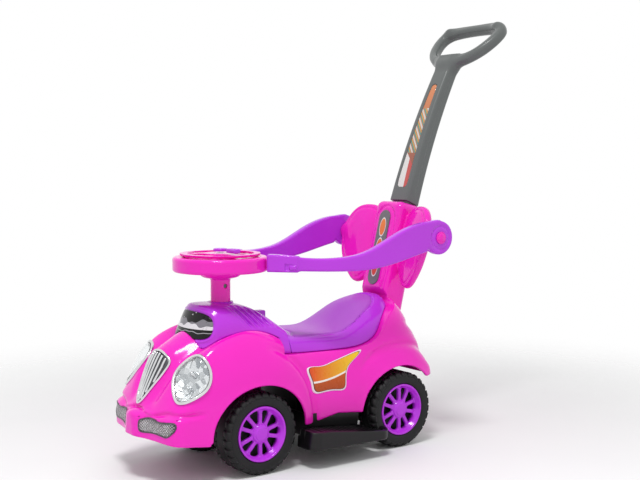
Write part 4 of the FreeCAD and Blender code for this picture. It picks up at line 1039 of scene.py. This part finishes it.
def handle_field(x, y, z):
    side = np.abs(y)
    depth, up = up_handle(x, z)
    part, bow, deep = shaft_at(up)
    wide = shaft_width - 6 * part
    shaft = block(depth - bow, side, 0, deep, wide, 60, 7)
    shaft = np.maximum(shaft, np.maximum(-up, up - neck - 6))
    rib = 1.5 * bell(depth - bow + 3, 3.2) * ramp(side - wide + 8, 4)
    shaft = shaft + rib * ramp(up - 10, 20) * ramp(neck - 20 - up, 30)
    tongue = block(depth, side, up + 33, tongue_depth, tongue_width, 38, 1.5)
    dx = x - neck_x
    dz = z - neck_z
    through = dx * math.cos(grip_lean) + dz * math.sin(grip_lean)
    rise = dz * math.cos(grip_lean) - dx * math.sin(grip_lean)
    flat = np.maximum(loop_outer(side, rise), -loop_inner(side, rise)) + grip_round
    thick = np.abs(through) - 3
    corner = np.hypot(np.maximum(flat, 0), np.maximum(thick, 0))
    swell = 7.0 * bell(side - 72, 13) * bell(rise - 98, 10)
    loop = corner + np.minimum(np.maximum(flat, thick), 0) - grip_round - swell * (through > -3)
    whole = smooth_min(shaft, loop, 18.0)
    whole = smooth_min(whole, tongue, 1.0)
    slot = np.maximum(slot_outline(side, up), deep - slot_depth - depth + bow)
    return cut(whole, slot, 1.2)


def band_field(x, y, z):
    depth, up = up_handle(x, z)
    _, bow, deep = shaft_at(up)
    return smooth_max(slot_outline(np.abs(y), up) + 0.4, np.abs(depth - bow - deep + 3.2) - 2.2, 0.6)


grey = moulded("handle_plastic", colour(106, 110, 109), roughness=0.3, coat=0.1, grain=0.06, drift=0.08)
handle = cast(handle_field, (-428, -100, 402), (-164, 100, 858), 2.3, mirror=True)
place_piece("handle", handle, grey, "handle", "handle_grey", "push_handle")
stripes = Finish("handle_stripes")
x, y, z = stripes.axes()
_, run = up_handle(x, z)
wave = ((run + y * 1.2) / 21.0).maths("FRACT")
lower = (y + (run - 90.0) * 0.07 > 1.0).mix(colour(228, 226, 222), colour(198, 66, 62))
upper = ((run - 80.0) / 180.0).mix(colour(150, 74, 50), colour(222, 132, 74))
tone = (run + y > 92.0).mix(lower, upper)
middle = (run > 104.0) * (run < 206.0)
tone = ((wave < 0.30) * middle).mix(tone, colour(214, 210, 200))
tone = ((wave > 0.46) * (wave < 0.66) * middle).mix(tone, colour(62, 150, 132))
tone = ((wave > 0.72) * (wave < 0.88) * middle).mix(tone, colour(206, 164, 70))
stripes.set({"Base Color": tone, "Roughness": 0.16 + stripes.noise(240.0, 2.0) * 0.1, "Coat Weight": 0.5})
band = cast(band_field, (-320, -18, 490), (-186, 18, 730), 1.4)
place_piece("handle_band", band, stripes, "handle", "handle_band", "handle_panel")

# Wheels: black blow-moulded tyres with two rows of lugs, each with a pressed-in purple rim of ten spokes.
# The lugs are one wedge repeated round the axle; a nut behind the rim's cap holds each wheel on its axle.


def arrays(mesh):
    """Points in millimetres and faces of a plain mesh."""
    points = np.empty(len(mesh.vertices) * 3, np.float32)
    mesh.vertices.foreach_get("co", points)
    return points.reshape(-1, 3).astype(float) * 1000, [tuple(p.vertices) for p in mesh.polygons], None


def joined(forms):
    points = []
    faces = []
    start = 0
    for form_points, form_faces, _ in forms:
        points.append(form_points)
        faces += [[i + start for i in face] for face in form_faces]
        start += len(form_points)
    return np.vstack(points), faces, None


def grown(form, tree, finish, settings):
    """Plain result of a form of faces or edges that went through a node tree with its named inputs set."""
    points, faces, _ = form
    lines = len(faces[0]) == 2
    mesh = bpy.data.meshes.new("seed")
    mesh.from_pydata((points / 1000).tolist(), faces if lines else [], [] if lines else faces)
    holder = bpy.data.objects.new("seed", mesh)
    bpy.context.collection.objects.link(holder)
    modifier = holder.modifiers.new("grow", "NODES")
    modifier.node_group = tree
    settings = {**settings, "Finish": finish.made}
    for item in tree.interface.items_tree:
        if item.item_type == "SOCKET" and item.in_out == "INPUT" and item.name in settings:
            modifier[item.identifier] = settings[item.name]
    shown = holder.evaluated_get(bpy.context.evaluated_depsgraph_get())
    plain = bpy.data.meshes.new_from_object(shown)
    holder.modifiers.remove(modifier)
    result = arrays(plain)
    bpy.data.objects.remove(holder)
    bpy.data.meshes.remove(plain)
    return result


def node_tree(name, inputs):
    """New geometry tree with named inputs, its first flow and its group input's outputs by name."""
    tree = bpy.data.node_groups.new(name, "GeometryNodeTree")
    sockets = {"Form": "NodeSocketGeometry", **inputs, "Finish": "NodeSocketMaterial"}
    for label, kind in sockets.items():
        tree.interface.new_socket(label, in_out="INPUT", socket_type=kind)
    tree.interface.new_socket("Form", in_out="OUTPUT", socket_type="NodeSocketGeometry")
    group = tree.nodes.new("NodeGroupInput")
    return tree, Flow(tree), {socket.name: Flow(tree, socket) for socket in group.outputs if socket.name}


def close_tree(flow, given):
    """Ends a tree with plain geometry in the given finish."""
    plain = flow.node("GeometryNodeRealizeInstances", {0: flow})
    dressed = plain.node("GeometryNodeSetMaterial", {"Geometry": plain, "Material": given["Finish"]})
    end = flow.tree.nodes.new("NodeGroupOutput")
    flow.tree.links.new(dressed.socket, end.inputs[0])


def hazed(name, low, high, noise, roughness, metallic=0.0):
    """Finish whose tone and roughness (lowest, span) drift together with a noise (scale, detail)."""
    finish = Finish(name)
    haze = finish.noise(*noise)
    finish.set({
        "Base Color": haze.mix(colour(*low), colour(*high)),
        "Roughness": roughness[0] + haze * roughness[1],
        "Metallic": metallic,
    })
    return finish


ring_inputs = {"Count": "NodeSocketInt", "Offset": "NodeSocketFloat"}
ring_tree, start, given = node_tree("repeat_round_axle", ring_inputs)
spots = start.node("GeometryNodePoints", {"Count": given["Count"]})
index = start.node("GeometryNodeInputIndex")
turn = (index + given["Offset"]) * (2 * math.pi) / given["Count"]
spin = start.node("ShaderNodeCombineXYZ", {1: turn})
copies = {"Points": spots, "Instance": given["Form"], "Rotation": spin}
close_tree(start.node("GeometryNodeInstanceOnPoints", copies), given)

tyre_black = hazed("tyre_black", (8, 8, 9), (27, 27, 29), (46.0, 5.0), (0.42, 0.22))
tyre_black.set({"Normal": tyre_black.bump(tyre_black.noise(900.0, 2.0), 0.25), "Specular IOR Level": 0.3})
tyre_profile = [(0, 66), (13.8, 66), (13.8, 88), (60, 88), (61, 69.6), (67, 69.3), (70.8, 75), (71, 85.5)]
tyre_profile += [(73.6, 87), (73.8, 97), (73.6, 107), (71, 108.5), (70.8, 119), (67.5, 124.4), (63, 125)]
tyre_profile += [(56, 124.6), (53.5, 124), (50.3, 121.5), (50.2, 100.2), (14, 100), (14, 112), (0, 112)]
tyre_body = lathe(rounded(tyre_profile, 1.6), (0, 0, 0), (0, 1, 0), 96)
lug_count = 28
lug_foot = 5.8
lug_top = 4.9
lug_slant = 0.24
tyre_middle = 97.1
lug_shape = [(69.5, 85.6), (73.7, 85.2), (73.7, 75.2), (68.4, 69.2), (64.5, 69.4)]
lug_steps = (-1.0, -0.82, 0.82, 1.0)
lug_points = []
for step in lug_steps:
    for radius, along in lug_shape:
        low = radius < 70
        bevel = 0.0 if low or abs(step) < 0.9 else 0.9
        half = lug_foot if low else lug_top
        lug_points.append((radius - bevel, along, step * half + lug_slant * (along - 77)))
ring_size = len(lug_shape)
last = (len(lug_steps) - 1) * ring_size
lug_faces = []
for i in range(0, last, ring_size):
    for j in range(ring_size):
        k = (j + 1) % ring_size
        lug_faces.append((i + j, i + k, i + ring_size + k, i + ring_size + j))
lug_faces.append(tuple(reversed(range(ring_size))))
lug_faces.append(tuple(range(last, last + ring_size)))
inner_lug = (np.array(lug_points), lug_faces, None)
points, faces, _ = other_side(inner_lug)
outer_lug = (points + (0, 2 * tyre_middle, 0), faces, None)
tyre_parts = [tyre_body]
for lug, offset in ((inner_lug, 0.0), (outer_lug, 0.5)):
    tyre_parts.append(grown(lug, ring_tree, tyre_black, {"Count": lug_count, "Offset": offset}))
tyre = joined(tyre_parts)
rim_front = ((0, 121.6), (11, 121.4), (16, 119), (17.5, 116.6), (30, 115.6), (41, 114.4), (44.5, 120),
             (46.5, 123.6), (50, 123.8))
rim_back = ((0, 117.8), (10.5, 117.8), (10.6, 111), (14, 110), (42, 108), (45, 101), (50, 100))
rim_radius = 50
window_count = 10
window_shapes = []
for narrow, wide in ((3.0, 9.4), (2.6, 6.6)):
    drop = [(18.5, 0), (20.5, narrow), (30, (narrow + wide) * 0.55), (37.5, wide), (41, wide * 0.66)]
    drop = mirrored(drop + [(41.8, 0)], 1)
    window_shapes.append(outline(curve(drop, 60, closed=True), cell=0.5, margin=40))


def rim_field(x, y, z):
    around = np.hypot(x, z)
    front = np.interp(around, *zip(*rim_front))
    back = np.interp(around, *zip(*rim_back))
    whole = smooth_max(smooth_max(y - front, back - y, 0.8), around - rim_radius, 1.4)
    sector = 2 * math.pi / window_count
    angle = np.arctan2(z, x)
    step = np.round(angle / sector)
    turned = angle - step * sector
    out = around * np.cos(turned)
    across = around * np.sin(turned)
    even = np.mod(step, 2) < 0.5
    window = np.where(even, window_shapes[0](out, across), window_shapes[1](out, across))
    whole = cut(whole, window, 1.8)
    return whole + 0.8 * bell(around - 13.5, 1.0) * (y > 117)


rim = cast(rim_field, (-52, 98, -52), (52, 126, 52), 1.25)
wheel_parts = (("tyre", tyre, tyre_black, "tyre_black"), ("rim", rim, purple, "trim_purple"))
for end_name, wheel_x in (("front", front_x), ("rear", rear_x)):
    rows = []
    for label, (points, faces, normals), finish, slot in wheel_parts:
        placed = (points + np.array((wheel_x, 0, axle_z)), faces, normals)
        node = f"{label}_{end_name}_*"
        rows.append((f"{node}_full", placed, finish, f"wheel_{end_name}_*", slot, node))
    place_sides(*rows)

# Headlights: a chrome reflector bowl behind a clear lens, with a chrome bezel, glued in the front fenders.
# The reflector is stepped into facets round two bulbs, each facet painted lighter or darker as a painted
# reflection, and the lens bulges out over the body's skin.


def on_skin(face, u, v, offset=0.0):
    """Place on the body's skin, or an offset from it, square out from a face's plane at each (u, v)."""
    w = np.zeros(np.shape(u))
    for _ in range(14):
        here = face.point(u, v, w)
        ahead = face.point(u, v, w + 0.5)
        value = skin_field(*np.moveaxis(here, -1, 0))
        slope = (skin_field(*np.moveaxis(ahead, -1, 0)) - value) / 0.5
        w = w - np.clip((value - offset) / np.maximum(slope, 0.25), -6, 6)
    return face.point(u, v, w)


def pillow(face, edge, top, bottom, rings=16):
    """Closed pad on the skin inside an outline. Top and bottom are heights over the skin, either even or
    given by the distance from the middle, 0 to 1, and the angle."""
    middle = edge.mean(axis=0)
    angles = np.linspace(0, 2 * math.pi, len(edge), endpoint=False)
    fractions = np.linspace(0, 1, rings + 1)[1:]

    def ring(heights, fraction, count):
        u, v = (middle + (edge[:count] - middle) * fraction).T
        height = heights(fraction, angles[:count]) if callable(heights) else heights
        return on_skin(face, u, v) + np.broadcast_to(height, count)[:, None] * face.out

    layers = [ring(top, fraction, len(edge)) for fraction in fractions]
    layers += [ring(bottom, fraction, len(edge)) for fraction in fractions[::-1]]
    layers += [ring(heights, 0.0, 1) for heights in (top, bottom)]
    loops = ring_faces(2 * rings, len(edge))
    return np.vstack(layers), [loop[:1] + loop[:0:-1] for loop in loops], None


tube_inputs = {"Radius": "NodeSocketFloat", "Sides": "NodeSocketInt"}
tube_tree, start, given = node_tree("tube_along_lines", tube_inputs)
lines = start.node("GeometryNodeMeshToCurve", {"Mesh": given["Form"]})
circle = {"Resolution": given["Sides"], "Radius": given["Radius"]}
ring_profile = start.node("GeometryNodeCurvePrimitiveCircle", circle)
swept = {"Curve": lines, "Profile Curve": ring_profile, "Fill Caps": True}
close_tree(start.node("GeometryNodeCurveToMesh", swept), given)


def tubes(lines, radius, finish, sides=10, closed=False):
    """Round bars along lines of points in millimetres."""
    edges = []
    start = 0
    for line in lines:
        edges += [(start + i, start + i + 1) for i in range(len(line) - 1)]
        if closed:
            edges.append((start + len(line) - 1, start))
        start += len(line)
    settings = {"Radius": radius / 1000, "Sides": sides}
    return grown((np.vstack(lines), edges, None), tube_tree, finish, settings)


def lamp_top(fraction, _):
    return 2.0 + 5.0 * math.sqrt(1 - fraction**2)


def lamp_inner(fraction, angles):
    return lamp_top(fraction, angles) - 1.8


def bowl_top(fraction, angles):
    facet = 1.4 * np.abs(np.sin(6 * angles + 8 * fraction)) * fraction
    return -13 * (1 - fraction**2) - 1.5 - facet


chrome = hazed("bright_chrome", (196, 198, 200), (236, 237, 238), (60.0, 4.0), (0.07, 0.12), 1.0)
lens_clear = hazed("clear_lens", (246, 249, 250), (255, 255, 255), (120.0, 3.0), (0.01, 0.04))
lens_clear.set({"Transmission Weight": 1.0, "IOR": 1.45})
reflector_chrome = Finish("reflector_chrome")
# Painted reflection: each facet's base colour is set lighter or darker at random, standing for the light
# and dark that the chrome mirrors.
facet_glint_cells = reflector_chrome.cells(105.0, "Color")
tone = facet_glint_cells.node("ShaderNodeSeparateXYZ", {0: facet_glint_cells})
reflector_chrome.set({
    "Base Color": tone.mix(colour(158, 162, 166), colour(250, 251, 252)),
    "Roughness": 0.06 + tone * 0.12,
    "Normal": reflector_chrome.bump(tone, 0.35),
    "Metallic": 1.0,
})
lamp_edge = curve(lamp_points, 96, closed=True)
lens = pillow(lamp_face, lamp_edge * 0.97, lamp_top, lamp_inner)
reflector = pillow(lamp_face, lamp_edge * 0.96, bowl_top, -18, 22)
bulb_forms = []
for u, v, size in ((0, 12, 9.0), (-1, -14, 7.0)):
    middle = on_skin(lamp_face, np.array([u]), np.array([v]))[0] - 14 * lamp_face.out
    bulb = [(0, 0), (size, 0), (size, 3), (size * 0.9, 6), (size * 0.62, 10), (size * 0.3, 12), (0, 12.6)]
    bulb_forms.append(lathe(rounded(bulb, 2.0), middle, lamp_face.out, 32))
bezel_line = on_skin(lamp_face, lamp_edge[:, 0] * 1.03, lamp_edge[:, 1] * 1.02, 1.0)
bezel = tubes([bezel_line], 3.2, chrome, closed=True)
place_sides(
    ("lens_*", lens, lens_clear, "chassis", "lens_clear", "headlight_lens_*"),
    ("bowl_*", reflector, reflector_chrome, "chassis", "chrome_trim", "headlight_reflector_*"),
    ("bulbs_*", joined(bulb_forms), chrome, "chassis", "chrome_trim"),
    ("bezel_*", bezel, chrome, "chassis", "chrome_trim", "headlight_bezel_*"),
)

# Nose grille: a chrome-plated drop clipped on the nose, with a raised rim and seven upright slats.
# The slats and the rim are round bars bent to the nose's skin over a darker sunk back plate.
grille_face = Face((front_x + 161, 0, 176), (0.91, 0, 0.41))
grille_points = ((0, -48), (10, -38), (25, -6), (35, 24), (33, 40), (18, 48), (0, 51))
grille_edge = curve(mirrored(grille_points), 96, closed=True)
grille_outline = outline(grille_edge, margin=20)
slat_pitch = 9


def plate_top(fraction, _):
    return 1.2 - 0.9 * fraction**6


dark_chrome = hazed("dark_chrome", (70, 70, 74), (104, 104, 108), (90.0, 3.0), (0.22, 0.16), 0.9)
plate = pillow(grille_face, grille_edge * 0.97, plate_top, -1.0)
place_piece("grille_plate", plate, dark_chrome, "chassis", "chrome_trim")
slat_lines = []
for i in range(-3, 4):
    heights = np.linspace(-46, 50, 60)
    bent = i * slat_pitch * (0.55 + 0.45 * ramp(heights + 46, 70))
    keep = grille_outline(bent, heights) < -3.0
    slat_lines.append(on_skin(grille_face, bent[keep], heights[keep], 2.0))
slats = tubes(slat_lines, 2.3, chrome)
grille_rim = tubes([on_skin(grille_face, *grille_edge.T, 1.4)], 2.4, chrome, closed=True)
place_piece("grille_bars", joined([slats, grille_rim]), chrome, "chassis", "chrome_trim", "nose_grille")

# Bumper meshes: plated lattices pressed into pockets of the bumper, one at each side.
# Each is a net of fine crossing bars in a thin dark chrome frame over a black back.
mesh_edge = curve(mesh_points, 110, closed=True)
mesh_pitch = 6.4
mesh_slope = 0.8
mesh_bar = 0.48
lattice = []
for slope in (mesh_slope, -mesh_slope):
    for offset in np.arange(-64, 65, mesh_pitch):
        u = np.linspace(-48, 48, 110)
        v = slope * (u - offset)
        keep = mesh_outline(u, v) < -0.6
        if keep.sum() > 4:
            lattice.append(on_skin(mesh_face, u[keep], v[keep], -0.6))
mesh_black = hazed("mesh_black", (20, 20, 22), (40, 38, 40), (130.0, 3.0), (0.4, 0.3))
mesh_plated = hazed("plated_mesh", (176, 172, 176), (216, 212, 216), (130.0, 3.0), (0.18, 0.16), 1.0)
backing = pillow(mesh_face, mesh_edge * 0.985, -2.0, -3.4)
bars = tubes(lattice, mesh_bar, mesh_plated, 6)
mesh_rim = tubes([on_skin(mesh_face, *mesh_edge.T, -0.2)], 1.2, dark_chrome, 8, closed=True)
place_sides(
    ("mesh_back_*", backing, mesh_black, "chassis", "mesh_dark", "bumper_mesh_*"),
    ("mesh_bars_*", bars, mesh_plated, "chassis", "mesh_dark"),
    ("mesh_frame_*", mesh_rim, dark_chrome, "chassis", "chrome_trim"),
)

# Windscreen panel: a glossy black plastic arch printed with plain pale hills and dots.
# It is bent round the cowl's front and stuck on it; the nose hump hides the middle of its lower edge.
screen_thick = 2.4


def screen_field(x, y, z):
    away = np.hypot(np.maximum(x - screen_axis, 0.01), y) - screen_radius(z)
    plate = np.maximum(screen_outline(y, z), screen_axis + 20 - x)
    plate = np.maximum(plate, 0.2 - skin_field(x, y, z))
    return smooth_max(plate, np.abs(away - screen_thick / 2) - screen_thick / 2, 1.2)


screen_print = Finish("screen_print")
_, y, z = screen_print.axes()
wave = (y * 0.11).maths("SINE") * 3.0 + (y * 0.29).maths("SINE") * 1.6
shore = z > 258.0
near_hill = shore * (z < 265.0 + wave * 0.9)
far_hill = shore * (z < 271.5 - wave)
ripple = (z - 253.0 - wave * 0.4).maths("ABSOLUTE")
stars = (screen_print.cells(95.0) < 0.16) * (z > 272.0)
tone = far_hill.mix(colour(12, 10, 12), colour(128, 128, 134))
tone = near_hill.mix(tone, colour(226, 226, 230))
tone = (ripple < 0.6).mix(tone, colour(170, 170, 176))
tone = stars.mix(tone, colour(214, 214, 220))
smear = screen_print.noise(30.0, 4.0)
screen_print.set({"Base Color": tone, "Roughness": 0.08 + smear * 0.12, "Specular IOR Level": 0.3})
screen = cast(screen_field, (240, -68, 238), (324, 68, 294), 1.4)
place_piece("screen", screen, screen_print, "chassis", "panel_black", "windscreen_panel")

# Side stickers: thin printed film on the body between the wheels, one at each side.
# A warm two-tone field with a pale arc, a dark line and a pale rim, cut to a shape with a leaf's tail.
sticker_x = 62
sticker_z = 162
sticker_face = Face((sticker_x, 114, sticker_z), (0, 1, 0))
sticker_points = ((120, 178), (90, 179), (62, 184), (26, 193), (-9, 199), (9, 184), (24, 170), (29, 150),
                  (33, 130), (66, 130), (104, 131), (112, 152))
sticker_edge = curve([(sticker_x - px, pz - sticker_z) for px, pz in sticker_points], 130, closed=True)
sticker_rings = 20
sticker_print = Finish("sticker_print")
x, _, z = sticker_print.axes()
ring = sticker_print.attribute("rim")
sweep = z - 150.0 - (x - 95.0) * (x - 95.0) * 0.003
warm = ((z - 130.0) / 60.0).mix(colour(176, 72, 22), colour(228, 104, 34))
bright = ((115.0 - x) / 110.0).mix(colour(232, 74, 30), colour(248, 206, 46))
tone = (sweep > 0.0).mix(warm, bright)
tone = (sweep.maths("ABSOLUTE") < 1.8).mix(tone, colour(250, 244, 236))
tone = (ring > 0.905).mix(tone, colour(74, 34, 26))
tone = (ring > 0.935).mix(tone, colour(250, 236, 244))
sticker_print.set({
    "Base Color": tone,
    "Roughness": 0.22 + sticker_print.noise(80.0, 3.0) * 0.12,
    "Coat Weight": 0.1,
    "Specular IOR Level": 0.25,
})
sticker = pillow(sticker_face, sticker_edge, 0.35, -0.8, sticker_rings)
fractions = np.linspace(0, 1, sticker_rings + 1)[1:]
rim_values = np.repeat(np.concatenate([fractions, fractions[::-1]]), len(sticker_edge))
rim_values = np.append(rim_values, (0, 0)).astype(np.float32)
for film in place_sides(("sticker_*", sticker, sticker_print, "chassis", "handle_band")):
    film.data.attributes.new("rim", "FLOAT", "POINT").data.foreach_set("value", rim_values)

# Backrest panel: a grey plastic oval with a plain printed motif, stuck on the front of the post.
# The print is a column of warm lens shapes with a pale edge.
panel_middle = 125
panel_half = 61
panel_radius = 17
lens_pitch = 42.0


def oval_field(x, y, z):
    deep, high = in_backrest(x, z)
    flat = np.hypot(y, np.maximum(np.abs(high - panel_middle) - panel_half, 0)) - panel_radius
    return smooth_max(flat, np.abs(deep - 0.9) - 1.1, 1.0)


backrest_print = Finish("backrest_print")
x, y, z = backrest_print.axes()
_, high = in_backrest(x, z)
beat = (((high - 62.0) / lens_pitch).maths("FRACT") - 0.5) * lens_pitch
lens_shape = beat * beat / 400.0 + y * y / 90.0
warm = ((high - 60.0) / 130.0).mix(colour(206, 48, 40), colour(240, 128, 40))
inside = (high > 62.0) * (high < 188.0)
tone = ((lens_shape < 1.0) * inside).mix(colour(104, 100, 106), colour(228, 222, 220))
tone = ((lens_shape < 0.74) * inside).mix(tone, warm)
smear = backrest_print.noise(70.0, 3.0)
backrest_print.set({"Base Color": tone, "Roughness": 0.26 + smear * 0.14, "Coat Weight": 0.25})
panel = cast(oval_field, (-166, -20, 304), (-108, 20, 466), 1.3)
place_piece("oval_panel", panel, backrest_print, "chassis", "handle_grey", "backrest_panel")

# Foot board: one black moulding that passes under the pan, with a wedge tread at each side.
# Each tread has a raised rim and rows of grip ribs, and is cut away round the wheels.
tread_side = ((143, 36), (139, 70), (103, 68), (-31, 50), (-43, 54), (-43, 33))
tread_profile = outline(tread_side, margin=40)
rib_pitch = 11
wheel_room = 86
turned_room = 101


def board_field(x, y, z):
    side = np.abs(y)
    plan = block(x - 50, side - 118, 0, 93, 44, 30, 22)
    tread = smooth_max(tread_profile(x, z), np.maximum(plan, 96 - side), 4.0)
    pad = np.maximum(plan + 9, 110 - side)
    top_z = np.interp(x, (-43, -31, 103, 139), (54, 50, 68, 70))
    rib = 0.8 * (1 + np.cos(x * 2 * math.pi / rib_pitch)) * ramp(-pad, 3)
    tread = tread + ramp(z - top_z + 8, 4) * (2.2 * ramp(-pad, 2) - rib)
    from_front = np.hypot(x - front_x, z - axle_z)
    from_rear = np.hypot(x - rear_x, z - axle_z)
    gaps = np.maximum(np.minimum(from_front, from_rear) - wheel_room, side - 131)
    gaps = np.minimum(gaps, np.maximum(from_front - turned_room, side - 110))
    tread = cut(tread, gaps, 2.0)
    tread = cut(tread, np.maximum(body_form(x, side, z) - 0.4, 57.7 - z), 1.0)
    beam = block(x - 47.5, side, z - 50, 57.5, 97, 8, 3)
    return smooth_min(tread, beam, 2.0)


black = moulded("black_plastic", colour(14, 13, 15), roughness=0.3, coat=0.1, grain=0.1, drift=0.25)
board = cast(board_field, (-47, -166, 30), (147, 166, 74), 2.0, mirror=True)
place_piece("footrest", board, black, "chassis", "chassis_black", "foot_board")

# Running gear and fixings: steel axles, pins, nuts and screws, and black moulded floor, bin and links.
# The pins are turned with chamfered ends and grooves; the others, and a purple bush, show the drawn solids.
axle_radius = 5.0
axle_half = 116.8
king_y = 48


def pin_form(middle, axis, start, end, radius):
    """Turned pin with chamfered ends and a groove near each."""
    near = [(radius - 0.8, 0), (radius, 0.8), (radius, 3), (radius - 0.5, 3.4), (radius, 3.8)]
    profile = [(0, start)] + [(r, start + along) for r, along in near]
    profile += [(r, end - along) for r, along in reversed(near)] + [(0, end)]
    return lathe(profile, middle, axis, 40)


steel = hazed("plain_steel", (150, 152, 155), (198, 200, 203), (300.0, 4.0), (0.24, 0.2), 1.0)
stub = pin_form((front_x, 0, axle_z), (0, 1, 0), 54, axle_half, axle_radius)
place_sides(("stub_*", stub, steel, "knuckle_*", "steel", "stub_axle_*"))
rear_pin = pin_form((rear_x, 0, axle_z), (0, 1, 0), -axle_half, axle_half, axle_radius)
place_piece("rear_shaft", rear_pin, steel, "chassis", "steel", "rear_axle")
king_forms = [pin_form((front_x, y, 0), (0, 0, 1), 56, 116, 4.0) for y in (king_y, -king_y)]
place_piece("king_pins", joined(king_forms), steel, "chassis", "steel", "kingpins")
hinge = pin_form((pin_x, 0, pin_z), (0, 1, 0), -37, 37, 3.0)
place_piece("lid_pin", hinge, steel, "chassis", "steel", "seat_hinge_pin")
drawn_nodes = {
    steel: ("steering_rod", "body_screws", "backrest_screws", "rear_axle_nuts", "stub_nut_left",
            "stub_nut_right"),
    black: ("chassis_pan", "storage_bin", "tie_bar", "steering_bridge", "knuckle_left", "knuckle_right"),
    dark_chrome: ("column_screw",),
    purple: ("column_bush",),
}
for finish, names in drawn_nodes.items():
    for name in names:
        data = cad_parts[name].data
        data.materials.clear()
        data.materials.append(finish.made)

# Studio: a pale floor that fades out, three soft lights and a white background.
# The camera stands where the photo was taken from.
floor_half = 9.0
fade_start = 500.0
fade_run = 1000.0
floor_mesh = bpy.data.meshes.new("floor")
floor_corners = [(floor_half * a, floor_half * b, 0) for a, b in ((-1, -1), (1, -1), (1, 1), (-1, 1))]
floor_mesh.from_pydata(floor_corners, [], [(0, 1, 2, 3)])
pale_floor = hazed("pale_floor", (244, 244, 245), (250, 250, 250), (3.0, 2.0), (0.6, 0.1))
x, y, _ = pale_floor.axes()
fade = ((x * x + y * y).maths("SQRT") - fade_start) / fade_run
fade = fade.maths("MINIMUM", fade.maths("MAXIMUM", fade, 0.0), 1.0)
pale_floor.set({"Alpha": 1.0 - fade * fade * (3.0 - 2.0 * fade)})
floor_mesh.materials.append(pale_floor.made)
floor = bpy.data.objects.new("floor", floor_mesh)
bpy.context.collection.objects.link(floor)


def soft_light(name, place, target, size, power):
    data = bpy.data.lights.new(name, "AREA")
    data.shape = "DISK"
    data.size = size
    data.energy = power
    light = bpy.data.objects.new(name, data)
    light.location = place
    away = np.array(target) - np.array(place)
    tilt = math.atan2(math.hypot(away[0], away[1]), -away[2])
    light.rotation_euler = (tilt, 0, math.atan2(away[0], -away[1]))
    bpy.context.collection.objects.link(light)


soft_light("key", (2.1, 0.5, 1.7), (0, 0, 0.3), 0.75, 66)
soft_light("fill", (-0.3, 1.9, 2.0), (0, 0, 0.3), 0.7, 40)
soft_light("top", (0.9, 0.8, 2.7), (0, 0, 0.2), 0.8, 54)
world = bpy.data.worlds.new("studio")
bpy.context.scene.world = world
world.use_nodes = True
sky = world.node_tree
sky.nodes.clear()
start = Flow(sky)
path = sky.nodes.new("ShaderNodeLightPath")
camera_ray, clear_ray, glossy_ray = (
    Flow(sky, path.outputs[f"Is {kind} Ray"]) for kind in ("Camera", "Transmission", "Glossy")
)
seen = start.maths("MINIMUM", camera_ray + clear_ray + glossy_ray, 1.0)
soft = start.node("ShaderNodeBackground", {"Color": (1, 1, 1, 1), "Strength": 0.62})
white = start.node("ShaderNodeBackground", {"Color": (1, 1, 1, 1), "Strength": 1.0})
both = start.node("ShaderNodeMixShader", {0: seen, 1: soft, 2: white})
end = sky.nodes.new("ShaderNodeOutputWorld")
sky.links.new(both.socket, end.inputs["Surface"])
camera_data = bpy.data.cameras.new("camera")
camera_data.lens = 59.09
camera_data.sensor_width = 36.0
camera = bpy.data.objects.new("camera", camera_data)
camera.location = (1.2235, 1.6676, 0.5508)
camera.rotation_euler = (math.radians(85.93), 0, math.radians(143.95))
bpy.context.collection.objects.link(camera)
scene = bpy.context.scene
scene.camera = camera
scene.view_settings.view_transform = "Standard"
